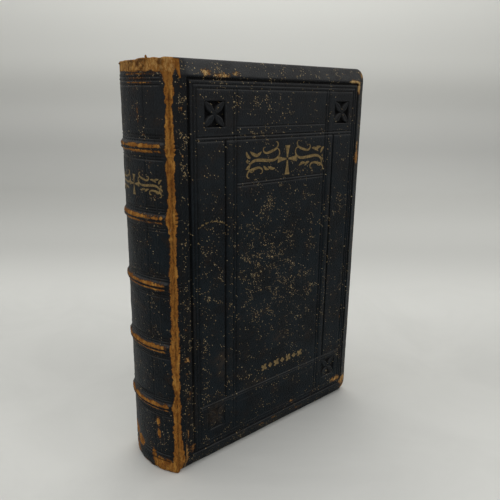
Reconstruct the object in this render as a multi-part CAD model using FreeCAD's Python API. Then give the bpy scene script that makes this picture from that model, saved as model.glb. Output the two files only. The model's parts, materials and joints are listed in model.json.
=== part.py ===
import FreeCAD, Part
import os
from math import sqrt

# A case-bound Bible standing on its tail edges, in millimetres.
# +X runs from the spine to the fore-edge, +Z runs from tail to head, and the
# front cover faces -Y. The origin is the middle of the footprint.

V = FreeCAD.Vector

# ---- the covers ----
board_height = 235.0        # covers, tail to head
cover_width = 154.6         # joint to fore-edge
book_thickness = 48.0       # over both covers, at the spine
cover_thickness = 6.0       # one board with its leather and pastedown
bevel_width = 9.6           # sloping margin at head, fore-edge and tail
bevel_depth = 3.5
cover_corner = 7.5          # rounded fore-edge corners
crest_corner = 0.8          # corner where the bevel meets the flat panel

# ---- skins and papers ----
leather = 0.8
turn_in = 14.0              # leather folded over onto the board's inner face
turn_in_thickness = 0.35    # pared thin
pastedown_thickness = 0.25
pastedown_margin = 3.5      # leather left showing round the pastedown
pastedown_corner = 5.0
mull_thickness = 0.35
lining_thickness = 0.35
hollow_thickness = 0.8      # flattened paper tube, both plies
hollow_slit = 0.3           # the air between its plies
hollow_edge = 3.0           # glued edges of the tube
paste_gap = 0.05            # between curved layers of the spine

# ---- the rounded spine ----
spine_round = 8.0           # how far the spine stands behind the joints
band_count = 5
band_pitch = 36.9
band_width = 5.6            # over the leather
band_strip = 3.4            # the strip under the leather
band_rise = 1.3
headcap_depth = 1.2         # folded leather at head and tail
headcap_reach = 1.5
joint_strip = 5.0           # hinge leather between spine and cover
joint_gap = 0.15            # from the hinge line to either side's leather
shoulder_gap = 0.3

# ---- the text block ----
square = 3.2                # cover beyond the pages at head, fore-edge and tail
gathering_count = 14
page_corner = 8.0
shoulder_length = 3.0       # where the backs start to fan out
shoulder_spread = 1.08      # fanning at the joint line
back_spread = 1.15          # fanning at the rounded back
leaf_count = 4              # leaves that turn at each end of the block
leaf_thickness = 0.25
leaf_gap = 0.08
cover_gap = 0.25            # between the first leaf and the pastedown
leaf_hinge_x = 6.0          # turning line of the leaves, from the joint
leaf_start = 12.0           # free part of a leaf begins this far from it

# ---- sewing and headbands ----
cord_radius = 0.9
cord_clearance = 0.1
cord_end_margin = 4.0       # its ends, in from the covers' inner faces
thread_radius = 0.25
thread_clearance = 0.08
thread_depth = 3.0          # fold line, in from the back
kettle_inset = 12.0         # first and last stitch, from head and tail
headband_core_radius = 0.65
headband_silk_radius = 1.2
headband_inset = 1.4        # its centre, in from the backs of the gatherings
headband_end_margin = 2.5
silk_clearance = 0.05

# ---- places worked out from the sizes above ----
half = book_thickness / 2
joint_x = (spine_round + band_rise - cover_width) / 2
fore_x = joint_x + cover_width
leather_radius = (half ** 2 + spine_round ** 2) / (2 * spine_round)
spine_centre = joint_x - spine_round + leather_radius
under_leather = leather_radius - leather
under_hollow = under_leather - hollow_thickness - paste_gap
under_lining = under_hollow - lining_thickness - paste_gap
under_mull = under_lining - mull_thickness - paste_gap
back_radius = under_mull - paste_gap
shoulder_x = joint_x - shoulder_gap
block_bottom = square
block_top = board_height - square
inner_face = half - cover_thickness
cord_half_span = inner_face - cord_end_margin
headband_half_span = inner_face - headband_end_margin
leaf_pitch = leaf_thickness + leaf_gap
leaves_depth = cover_gap + leaf_count * leaf_pitch
block_half = inner_face - leaves_depth
gathering_thickness = 2 * block_half / gathering_count
page_fore_x = fore_x - square
leaf_x = joint_x + leaf_hinge_x + leaf_start
far = 500.0


def save(name, shape):
    shape.exportStep(f"parts/{name}.step")


def box(x0, x1, y0, y1, z0, z1):
    return Part.makeBox(x1 - x0, y1 - y0, z1 - z0, V(x0, y0, z0))


def polygon(points):
    return Part.makePolygon([V(*p) for p in points + points[:1]])


def mirrored(shape):
    """The back cover's side: the same piece across the middle of the book."""
    return shape.mirror(V(0, 0, 0), V(0, 1, 0))


def revolved(profile):
    """A ring about the spine's centre, from a closed outline of (radius, z)."""
    ring = Part.Face(polygon([(spine_centre + r, 0, z) for r, z in profile]))
    return ring.revolve(V(spine_centre, 0, 0), V(0, 0, 1), 360)


def spine_layer(r_in, r_out, z0, z1, x_limit):
    """A curved layer of the spine, cut off square at the joints."""
    ring = revolved([(r_in, z0), (r_out, z0), (r_out, z1), (r_in, z1)])
    return ring.common(box(-far, x_limit, -far, far, -far, far))


def leaf_outline(x0, x1, z0, z1, corner, y):
    """A rectangle in the XZ plane whose two fore-edge corners are rounded."""
    mid = corner * (1 - sqrt(0.5))
    edges = [
        Part.LineSegment(V(x0, y, z0), V(x1 - corner, y, z0)).toShape(),
        Part.Arc(V(x1 - corner, y, z0), V(x1 - mid, y, z0 + mid), V(x1, y, z0 + corner)).toShape(),
        Part.LineSegment(V(x1, y, z0 + corner), V(x1, y, z1 - corner)).toShape(),
        Part.Arc(V(x1, y, z1 - corner), V(x1 - mid, y, z1 - mid), V(x1 - corner, y, z1)).toShape(),
        Part.LineSegment(V(x1 - corner, y, z1), V(x0, y, z1)).toShape(),
        Part.LineSegment(V(x0, y, z1), V(x0, y, z0)).toShape(),
    ]
    return Part.Wire(edges)


def sheet(x0, x1, z0, z1, corner, y0, y1):
    """A flat sheet or board between two planes of constant Y."""
    return Part.Face(leaf_outline(x0, x1, z0, z1, corner, y0)).extrude(V(0, y1 - y0, 0))


def cover_blank(inset, face_inset, back_y):
    """The bevelled cover, drawn in by a skin's thickness all round."""
    x0 = joint_x + joint_gap
    face_y = face_inset - half
    rim_y = face_y + bevel_depth
    slab = sheet(x0, fore_x - inset, inset, board_height - inset, cover_corner - inset, rim_y, back_y)
    rim = leaf_outline(x0, fore_x - inset, inset, board_height - inset, cover_corner - inset, rim_y)
    crest = leaf_outline(x0, fore_x - bevel_width, bevel_width, board_height - bevel_width, crest_corner, face_y)
    slope = Part.makeLoft([rim, crest], True, True)
    return slab.fuse(slope).removeSplitter()


def board():
    """The mill board, with the card filling that lies between the turn-ins."""
    card_y = -inner_face - pastedown_thickness
    core = cover_blank(leather, leather, card_y - turn_in_thickness)
    x0 = joint_x + joint_gap
    filling = sheet(x0, fore_x - turn_in, turn_in, board_height - turn_in, crest_corner,
                    card_y - turn_in_thickness, card_y)
    return core.fuse(filling).removeSplitter()


def cover_leather():
    """The leather over one board: face, bevels, edges and turn-ins."""
    whole = cover_blank(0.0, 0.0, -inner_face - pastedown_thickness)
    return whole.cut(board())


def pastedown():
    return sheet(joint_x + joint_gap, fore_x - pastedown_margin, pastedown_margin,
                 board_height - pastedown_margin, pastedown_corner,
                 -inner_face - pastedown_thickness, -inner_face)


def turning_leaf(number):
    """The free part of a leaf; the first lies next to the pastedown."""
    y0 = cover_gap - inner_face + number * leaf_pitch
    return sheet(leaf_x, page_fore_x, block_bottom, block_top, page_corner, y0, y0 + leaf_thickness)


def gutter_margin():
    """The bound-in inner margins of the turning leaves."""
    return box(joint_x + shoulder_length, leaf_x - shoulder_gap, cover_gap - inner_face, -block_half,
               block_bottom, block_top)


def boundary(y):
    """The line between two gatherings, from the shoulder to the rounded back."""
    back_y = y * back_spread
    back_x = spine_centre - sqrt(back_radius ** 2 - back_y ** 2)
    return [V(joint_x + shoulder_length, y, block_bottom),
            V(max(shoulder_x, back_x), y * shoulder_spread, block_bottom),
            V(back_x, back_y, block_bottom)]


def band_z(number):
    return board_height / 2 + (number - (band_count - 1) / 2) * band_pitch


def cord_groove(number):
    r0 = back_radius - 2 * (cord_radius + cord_clearance)
    z0 = band_z(number) - cord_radius - cord_clearance
    z1 = band_z(number) + cord_radius + cord_clearance
    return revolved([(r0, z0), (leather_radius, z0), (leather_radius, z1), (r0, z1)])


def along(points, distance):
    """The point that lies this far along a line of straight runs."""
    for start, end in zip(points, points[1:]):
        run = (end - start).Length
        if distance <= run:
            return start + (end - start) * (distance / run)
        distance -= run
    return points[-1]


def fold_point(number):
    """Where the thread runs in a gathering's fold."""
    middle = (number + 0.5) * gathering_thickness - block_half
    point = along(boundary(middle)[::-1], thread_depth)
    return point.x, point.y


def gathering(number, grooves):
    """A folded section: flat leaves, a fanned-out shoulder and a rounded back."""
    y0 = number * gathering_thickness - block_half
    y1 = y0 + gathering_thickness
    first = boundary(y0)
    last = boundary(y1)
    middle_y = (first[2].y + last[2].y) / 2
    back_x = spine_centre - sqrt(back_radius ** 2 - middle_y ** 2)
    width = page_fore_x - boundary(-block_half)[2].x
    edge_x = back_x + width
    line = [V(edge_x, y0, block_bottom)] + first
    back = Part.Arc(first[2], V(back_x, middle_y, block_bottom), last[2]).toShape()
    edges = [Part.LineSegment(a, b).toShape() for a, b in zip(line, line[1:]) if (a - b).Length > 1e-6]
    line = last[::-1] + [V(edge_x, y1, block_bottom), V(edge_x, y0, block_bottom)]
    edges.append(back)
    edges += [Part.LineSegment(a, b).toShape() for a, b in zip(line, line[1:]) if (a - b).Length > 1e-6]
    solid = Part.Face(Part.Wire(edges)).extrude(V(0, 0, block_top - block_bottom))
    solid = solid.common(sheet(-far, edge_x, block_bottom, block_top, page_corner, -half, half))
    x, y = fold_point(number)
    hole = Part.makeCylinder(thread_radius + thread_clearance, board_height, V(x, y, 0))
    return solid.cut(hole).cut(grooves)


def sewing_thread():
    """One run of thread in the fold of each gathering."""
    runs = []
    length = board_height - 2 * kettle_inset
    for number in range(gathering_count):
        x, y = fold_point(number)
        runs.append(Part.makeCylinder(thread_radius, length, V(x, y, kettle_inset)))
    return Part.makeCompound(runs)


def bent_rod(radius, centre_radius, z, half_span):
    """A round rod that follows the spine's curve."""
    circle = Part.Wire(Part.makeCircle(radius, V(spine_centre - centre_radius, 0, z), V(0, 1, 0)))
    ring = Part.Face(circle).revolve(V(spine_centre, 0, 0), V(0, 0, 1), 360)
    return ring.common(box(-far, spine_centre, -half_span, half_span, -far, far))


def endband(z):
    """The core and the silk wound round it, for a headband or a tailband."""
    centre_radius = back_radius - headband_inset
    core = bent_rod(headband_core_radius, centre_radius, z, headband_half_span)
    silk = bent_rod(headband_silk_radius, centre_radius, z, headband_half_span)
    bore = bent_rod(headband_core_radius + silk_clearance, centre_radius, z, headband_half_span)
    return core, silk.cut(bore)


def band_strip_solid(number):
    z0 = band_z(number) - band_strip / 2
    z1 = z0 + band_strip
    return spine_layer(under_leather, under_leather + band_rise - paste_gap, z0, z1, joint_x - joint_strip)


def leather_profile():
    """(radius, z) outline of the spine leather, with its bands and headcaps."""
    outer = [(leather_radius, 0.0)]
    inner = [(under_leather, headcap_depth)]
    for number in range(band_count):
        z = band_z(number)
        outer += [(leather_radius, z - band_width / 2),
                  (leather_radius + band_rise, z - band_width / 2 + band_rise),
                  (leather_radius + band_rise, z + band_width / 2 - band_rise),
                  (leather_radius, z + band_width / 2)]
        inner += [(under_leather, z - band_strip / 2 - paste_gap),
                  (under_leather + band_rise, z - band_strip / 2 - paste_gap),
                  (under_leather + band_rise, z + band_strip / 2 + paste_gap),
                  (under_leather, z + band_strip / 2 + paste_gap)]
    cap = under_leather - headcap_reach
    top = [(leather_radius, board_height), (cap, board_height), (cap, board_height - headcap_depth),
           (under_leather, board_height - headcap_depth)]
    bottom = [(cap, headcap_depth), (cap, 0.0)]
    return outer + top + inner[::-1] + bottom


def spine_leather():
    ring = revolved(leather_profile())
    return ring.common(box(-far, joint_x - joint_strip, -far, far, -far, far))


def joint_leather():
    """The hinge leather beside the front cover."""
    ring = revolved([(under_leather, 0.0), (leather_radius, 0.0),
                     (leather_radius, board_height), (under_leather, board_height)])
    return ring.common(box(joint_x - joint_strip, joint_x - joint_gap, -far, 0, -far, far))


def hollow_tube():
    tube = spine_layer(under_hollow, under_leather - paste_gap, block_bottom, block_top, shoulder_x)
    ply = (hollow_thickness - hollow_slit) / 2
    air = spine_layer(under_hollow + ply, under_leather - paste_gap - ply, 0, board_height,
                      shoulder_x - hollow_edge)
    return tube.cut(air)


os.makedirs("parts", exist_ok=True)

grooves = Part.makeCompound([cord_groove(number) for number in range(band_count)])
for number in range(gathering_count):
    save(f"gathering_{number + 1:02d}", gathering(number, grooves))
save("sewing_thread", sewing_thread())
for number in range(band_count):
    cord = bent_rod(cord_radius, back_radius - cord_radius - cord_clearance, band_z(number), cord_half_span)
    save(f"sewing_cord_{number + 1}", cord)
    save(f"raised_band_{number + 1}", band_strip_solid(number))

save("spine_mull", spine_layer(under_mull, under_lining - paste_gap, block_bottom, block_top, shoulder_x))
save("spine_lining_paper",
     spine_layer(under_lining, under_hollow - paste_gap, block_bottom, block_top, shoulder_x))
save("spine_hollow_tube", hollow_tube())
save("spine_leather", spine_leather())
save("front_joint_leather", joint_leather())
save("back_joint_leather", mirrored(joint_leather()))

head_core, head_silk = endband(block_top + headband_silk_radius + paste_gap)
tail_core, tail_silk = endband(block_bottom - headband_silk_radius - paste_gap)
save("headband_core", head_core)
save("headband_silk", head_silk)
save("tailband_core", tail_core)
save("tailband_silk", tail_silk)

covers = {"board": board(), "cover_leather": cover_leather(), "pastedown": pastedown(),
          "gutter_margin": gutter_margin()}
for name, shape in covers.items():
    save(f"front_{name}", shape)
    save(f"back_{name}", mirrored(shape))
for number in range(leaf_count):
    name = "flyleaf" if number == 0 else f"leaf_{number + 1}"
    save(f"front_{name}", turning_leaf(number))
    save(f"back_{name}", mirrored(turning_leaf(number)))
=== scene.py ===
import json
import math
import bpy
import numpy as np
from mathutils import Matrix, Vector


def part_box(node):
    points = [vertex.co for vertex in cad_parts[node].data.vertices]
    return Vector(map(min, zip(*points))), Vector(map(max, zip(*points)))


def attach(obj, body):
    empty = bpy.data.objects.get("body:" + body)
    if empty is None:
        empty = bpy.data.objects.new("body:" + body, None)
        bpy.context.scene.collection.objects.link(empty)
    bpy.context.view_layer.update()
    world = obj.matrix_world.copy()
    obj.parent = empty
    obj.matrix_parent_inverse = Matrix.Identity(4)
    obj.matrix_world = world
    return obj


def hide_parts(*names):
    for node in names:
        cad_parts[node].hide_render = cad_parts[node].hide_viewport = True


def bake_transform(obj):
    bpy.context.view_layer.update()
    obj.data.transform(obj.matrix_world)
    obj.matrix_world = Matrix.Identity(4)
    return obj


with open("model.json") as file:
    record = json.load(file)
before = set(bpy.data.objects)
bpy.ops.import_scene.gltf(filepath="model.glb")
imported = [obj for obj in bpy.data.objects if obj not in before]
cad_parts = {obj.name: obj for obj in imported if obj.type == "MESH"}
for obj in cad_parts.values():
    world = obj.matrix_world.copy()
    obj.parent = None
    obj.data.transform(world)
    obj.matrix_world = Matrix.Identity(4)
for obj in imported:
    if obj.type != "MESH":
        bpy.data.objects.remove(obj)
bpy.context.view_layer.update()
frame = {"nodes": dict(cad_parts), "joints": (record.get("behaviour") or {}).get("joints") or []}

# ---------------------------------------------------------------------------
# Sizes, in millimetres. X runs from the spine to the fore-edge, Z from tail
# to head, and the front cover faces -Y.
# ---------------------------------------------------------------------------
MM = 0.001


def node_box(node):
    """The lowest and highest corners of a CAD piece, in millimetres."""
    low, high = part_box(node)
    return low / MM, high / MM


def hinge_place(name):
    """Where a hinge stands, in millimetres."""
    joint = next(j for j in frame["joints"] if j["name"] == name)
    return Vector(joint["pos_m"]) / MM


HINGE = hinge_place("front_cover_hinge")
LEAF_HINGE = hinge_place("front_flyleaf_hinge")
JOINT_X = HINGE.x
HALF = abs(HINGE.y)
COVER_HIGH = node_box("front_cover_leather")[1]
HEIGHT = COVER_HIGH.z
FORE_X = COVER_HIGH.x
WIDTH = FORE_X - JOINT_X
INNER_Y = node_box("front_pastedown")[1].y
BAND_Z = [sum(c.z for c in node_box(f"raised_band_{n}")) / 2 for n in range(1, 6)]
BLOCK_LOW, BLOCK_HIGH = node_box("gathering_01")
PAGE_FORE_X = BLOCK_HIGH.x
GATHERINGS = 14

BAND_RISE = 1.3             # how far the raised bands stand out
BAND_HALF = 2.9             # and half their width
SPINE_ROUND = JOINT_X - node_box("spine_leather")[0].x - BAND_RISE
SPINE_RADIUS = (HALF ** 2 + SPINE_ROUND ** 2) / (2 * SPINE_ROUND)
SPINE_CENTRE = JOINT_X - SPINE_ROUND + SPINE_RADIUS
SPINE_ANGLE = math.asin(HALF / SPINE_RADIUS)
SPINE_LENGTH = 2 * SPINE_RADIUS * SPINE_ANGLE

BEVEL = 8.6                 # sloping margin of the covers
BEVEL_DEPTH = 3.4           # and how far it falls away
CORNER = 7.5                # rounded fore-edge corners
STRIP_SPINE = 9.0           # the joint leather, on its spine side
STRIP_COVER = 5.0           # and on its cover side
LEATHER = 0.8               # thickness of the skin
TURN_IN = 5.65              # depth at which the leather turns in

# Tooling on the covers, from the joint (across) and from the head or tail.
FRAME_LEFT = 11.2
FRAME_INSET = 9.7
FRAME_RIGHT = WIDTH - FRAME_INSET + 0.6
FRAME_CENTRE = (FRAME_LEFT + FRAME_RIGHT) / 2 + 0.65
INNER_LINES = (2.6, 4.7)    # fine lines inside the frame groove
PILLAR = (36.1, 38.3)       # the centre panel's double line, from the centre
SIDE_PANEL = 44.0           # the side panel's deep inner edge, from the centre
CROSS_BARS = (34.0, 39.0, 41.0)     # below the head: a single line and a pair
LOW_BARS = (32.0, 36.5, 38.3)       # above the tail
TITLE_BARS = (65.0, 66.7)   # a pair below the title
LOW_LINE = 58.3             # a single line across the centre panel, above the tail
SQUARE_OFFSET = 51.1        # corner squares, from the centre
SQUARE_INSET = 27.3         # and from head and tail
SQUARE_HALF = 6.8
SQUARE_PLACES = np.linspace(-SQUARE_HALF - 1, SQUARE_HALF + 1, 41)

# Tooling on the spine: heights of the rules at head and tail, heights rubbed
# bare between them, lines beside each band and the line down the compartments.
SPINE_RULES = (228.0, 225.8, 224.0, 221.8, 5.2, 7.4, 9.8, 12.0)
RUBBED_RULES = (227.0, 224.9, 222.9)
BAND_LINES = (4.6, 6.0)
UPRIGHT_LINE = 15.5


# ---------------------------------------------------------------------------
# Smooth random fields
# ---------------------------------------------------------------------------
def hashed(ix, iy, seed):
    """A number from 0 to 1 for each whole-numbered place."""
    h = (ix.astype(np.int64) * 374761393 + iy.astype(np.int64) * 668265263 + seed * 1442695041) & 0xFFFFFFFF
    h = ((h ^ (h >> 13)) * 1274126177) & 0xFFFFFFFF
    return ((h ^ (h >> 16)) & 0xFFFFFF) / float(0xFFFFFF)


def field(x, y, size, seed=0):
    """Smooth noise from 0 to 1 whose lumps are about this size."""
    x = np.asarray(x, float) / size
    y = np.asarray(y, float) / size
    x, y = np.broadcast_arrays(x, y)
    ix, iy = np.floor(x), np.floor(y)
    fx, fy = x - ix, y - iy
    fx, fy = fx * fx * (3 - 2 * fx), fy * fy * (3 - 2 * fy)
    low = hashed(ix, iy, seed) * (1 - fx) + hashed(ix + 1, iy, seed) * fx
    high = hashed(ix, iy + 1, seed) * (1 - fx) + hashed(ix + 1, iy + 1, seed) * fx
    return low * (1 - fy) + high * fy


def rough_field(x, y, size, seed=0, layers=3):
    """Noise with finer noise on top, from 0 to 1."""
    total, weight, share = 0.0, 0.0, 1.0
    for layer in range(layers):
        total = total + share * field(x, y, size / 2 ** layer, seed + 17 * layer)
        weight += share
        share *= 0.5
    return total / weight


def step(x, low, high):
    """0 below low, 1 above high and smooth between."""
    t = np.clip((np.asarray(x, float) - low) / (high - low), 0, 1)
    return t * t * (3 - 2 * t)


def near(x, centre, reach):
    """1 at the centre, falling smoothly to 0 at this reach."""
    return 1 - step(np.abs(np.asarray(x, float) - centre), 0, reach)


def spot(x, y, cx, cy, rx, ry):
    """A soft round patch, full in its middle."""
    return 1 - step(np.hypot((x - cx) / rx, (y - cy) / ry), 0.25, 1.1)


def patches(marks, u, z):
    """The strongest at each place of these (across, height, half width, half height, strength)."""
    strongest = np.zeros(np.broadcast(u, z).shape)
    for across, height, half_width, half_height, strength in marks:
        here = strength * spot(u, z, across, height, half_width, half_height)
        strongest = np.maximum(strongest, here)
    return strongest


# ---------------------------------------------------------------------------
# Mesh building
# ---------------------------------------------------------------------------
def mesh_object(name, points, faces, uv=None, paints=None, smooth=True):
    """An object from points in millimetres, with skin coordinates and painted masks."""
    mesh = bpy.data.meshes.new(name)
    mesh.from_pydata([tuple(p) for p in np.asarray(points) * MM], [], [tuple(f) for f in faces])
    mesh.update()
    if smooth:
        mesh.polygons.foreach_set("use_smooth", [True] * len(mesh.polygons))
    if uv is not None:
        loops = np.zeros(len(mesh.loops), np.int32)
        mesh.loops.foreach_get("vertex_index", loops)
        layer = mesh.uv_layers.new(name="skin")
        layer.data.foreach_set("uv", np.asarray(uv, np.float32)[loops].ravel())
    for key, values in (paints or {}).items():
        mask = mesh.attributes.new(key, "FLOAT", "POINT")
        mask.data.foreach_set("value", np.asarray(values, np.float32).ravel())
    made = bpy.data.objects.new(name, mesh)
    bpy.context.scene.collection.objects.link(made)
    return made


def grid_faces(rows, columns, start=0, flip=False):
    """Quads over a grid of rows and columns of points."""
    index = np.arange(rows * columns).reshape(rows, columns) + start
    quads = np.stack([index[:-1, :-1], index[:-1, 1:], index[1:, 1:], index[1:, :-1]], -1).reshape(-1, 4)
    return quads[:, ::-1] if flip else quads


def bar_faces(base, count):
    """Faces of a closed four-sided bar whose count rings of corners start at base."""
    faces = []
    for k in range(count - 1):
        a, b = base + 4 * k, base + 4 * (k + 1)
        for c in range(4):
            faces.append((a + c, b + c, b + (c + 1) % 4, a + (c + 1) % 4))
    faces.append((base + 3, base + 2, base + 1, base))
    end = base + 4 * (count - 1)
    faces.append((end, end + 1, end + 2, end + 3))
    return faces


def shell(name, grid, thickness, uv, paints, flip=False):
    """A closed sheet: the grid's own surface, a copy set in by its thickness, and the edges.

    The grid's outward side is (first index x second index) unless flip is set."""
    rows, columns = grid.shape[:2]
    d_row = np.gradient(grid, axis=0)
    d_col = np.gradient(grid, axis=1)
    normal = np.cross(d_row, d_col)
    normal /= np.maximum(np.linalg.norm(normal, axis=-1, keepdims=True), 1e-9)
    if flip:
        normal = -normal
    inner = grid - normal * np.asarray(thickness)[..., None]
    count = rows * columns
    outer_faces = grid_faces(rows, columns, 0, not flip)
    inner_faces = grid_faces(rows, columns, count, flip)
    index = np.arange(count).reshape(rows, columns)
    rim = np.concatenate([index[0, :], index[1:, -1], index[-1, -2::-1], index[-2:0:-1, 0]])
    ahead = np.roll(rim, -1)
    side = np.stack([rim, ahead, ahead + count, rim + count], -1)
    if not flip:
        side = side[:, ::-1]
    points = np.concatenate([grid.reshape(-1, 3), inner.reshape(-1, 3)])
    faces = np.concatenate([outer_faces, inner_faces, side])
    twice = {key: np.tile(np.broadcast_to(values, (rows, columns)).ravel(), 2)
             for key, values in paints.items()}
    return mesh_object(name, points, faces, np.tile(uv.reshape(-1, 2), (2, 1)), twice)


def mirrored(grid, side):
    """The back cover's side of the book is the front's, across the middle."""
    if side == "back":
        grid = grid * np.array([1, -1, 1])
    return grid


def beside(places, offsets):
    """Every place, moved by every offset."""
    return [place + offset for place in places for offset in offsets]


def spaced(breaks, spacing):
    """Every break, and even steps between them no longer than the spacing."""
    breaks = sorted(set(round(b, 3) for b in breaks))
    out = [breaks[0]]
    for a, b in zip(breaks, breaks[1:]):
        if b - a < 0.05:
            continue
        count = max(1, math.ceil((b - a) / spacing))
        out += [a + (b - a) * k / count for k in range(1, count + 1)]
    return np.array(out)


# ---------------------------------------------------------------------------
# The leather's path round the book: u is measured on the skin, from the
# front joint, positive across the cover and negative round the spine.
# ---------------------------------------------------------------------------
def skin_path(u):
    """Place (x, y) and outward direction of the skin at u, before any relief."""
    u = np.asarray(u, float)
    angle = SPINE_ANGLE + np.minimum(u, 0) / SPINE_RADIUS
    x = np.where(u < 0, SPINE_CENTRE - SPINE_RADIUS * np.cos(angle), JOINT_X + u)
    y = np.where(u < 0, -SPINE_RADIUS * np.sin(angle), -HALF)
    reach = 3.0
    t = np.clip((u + reach) / (2 * reach), 0, 1)
    a = SPINE_ANGLE - reach / SPINE_RADIUS
    start = np.array([SPINE_CENTRE - SPINE_RADIUS * math.cos(a), -SPINE_RADIUS * math.sin(a)])
    bow_x = (1 - t) ** 2 * start[0] + 2 * t * (1 - t) * JOINT_X + t ** 2 * (JOINT_X + reach)
    bow_y = (1 - t) ** 2 * start[1] + 2 * t * (1 - t) * -HALF + t ** 2 * -HALF
    inside = np.abs(u) < reach
    x = np.where(inside, bow_x, x)
    y = np.where(inside, bow_y, y)
    turn = step(u, -reach, reach)
    nx = -np.cos(angle) * (1 - turn)
    ny = -np.sin(angle) * (1 - turn) - turn
    length = np.hypot(nx, ny)
    return x, y, nx / length, ny / length


def wrap_profile(kind):
    """How the skin runs over a head or tail edge: (out, in) from the crest of the bevel."""
    if kind == "cover":
        return [(0.0, 0.0), (1.2, 0.35), (BEVEL - 0.9, BEVEL_DEPTH - 0.5),
                (BEVEL - 0.35, BEVEL_DEPTH - 0.1), (BEVEL, BEVEL_DEPTH + 0.55), (BEVEL, TURN_IN - 0.7),
                (BEVEL - 0.3, TURN_IN - 0.12), (BEVEL - 0.9, TURN_IN), (BEVEL - 6.0, TURN_IN)]
    return [(0.0, 0.0), (1.2, 0.0), (BEVEL - 0.9, 0.1), (BEVEL - 0.3, 0.35),
            (BEVEL, 1.1), (BEVEL - 0.1, 1.9), (BEVEL - 0.4, 2.6),
            (BEVEL - 1.0, 3.0), (BEVEL - 4.0, 3.1)]


def wrap(level, kind):
    """(out, in) at a level: 0 is the crest, and each whole number the next corner of the profile."""
    points = wrap_profile(kind)
    at = np.arange(len(points))
    return np.interp(level, at, [p[0] for p in points]), np.interp(level, at, [p[1] for p in points])


WRAP_LEVELS = np.array([0.0, 0.5, 1.0, 1.25, 1.5, 1.75, 2.0, 2.5, 3.0, 3.5, 4.0, 4.5, 5.0, 6.0, 7.0, 8.0])
HEAD_CREST = HEIGHT - BEVEL
TAIL_CREST = BEVEL


# ---------------------------------------------------------------------------
# Relief and wear of the covers
# ---------------------------------------------------------------------------
def groove(distance, half_width, depth):
    """A pressed line: distance from its middle."""
    return -depth * (1 - step(np.abs(distance), half_width * 0.35, half_width))


def ridge(distance, half_width, height):
    """A raised line: distance from its middle."""
    return height * (1 - step(np.abs(distance), 0.0, half_width))


def between(x, low, high, soft=0.25):
    """1 between low and high, 0 outside."""
    return step(x, low - soft, low + soft) * (1 - step(x, high - soft, high + soft))


def fine_line(distance, here=1.0):
    """A fine tooled line, pressed with a raised lip on each side."""
    return here * (groove(distance, 0.5, 0.48) + ridge(np.abs(distance) - 0.85, 0.5, 0.16))


def corner_square(dx, dz):
    """Relief of a sunk square that holds a four-leaved saltire."""
    reach = np.maximum(np.abs(dx), np.abs(dz))
    inside = 1 - step(reach, SQUARE_HALF - 0.35, SQUARE_HALF)
    along = (np.abs(dx) + np.abs(dz)) / math.sqrt(2)
    across = np.abs(np.abs(dx) - np.abs(dz)) / math.sqrt(2)
    leaf_half = 2.0 * np.sin(np.pi * np.clip(along / (SQUARE_HALF * 1.35), 0, 1)) ** 0.8 + 0.15
    leaf = 1 - step(across, leaf_half * 0.75, leaf_half)
    vein = groove(across, 0.35, 0.25) * leaf
    depth = -1.9 + 1.92 * leaf + 0.8 * vein
    rim = ridge(reach - SQUARE_HALF - 0.35, 0.6, 0.15)
    return inside * depth + rim * (1 - inside)


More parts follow.
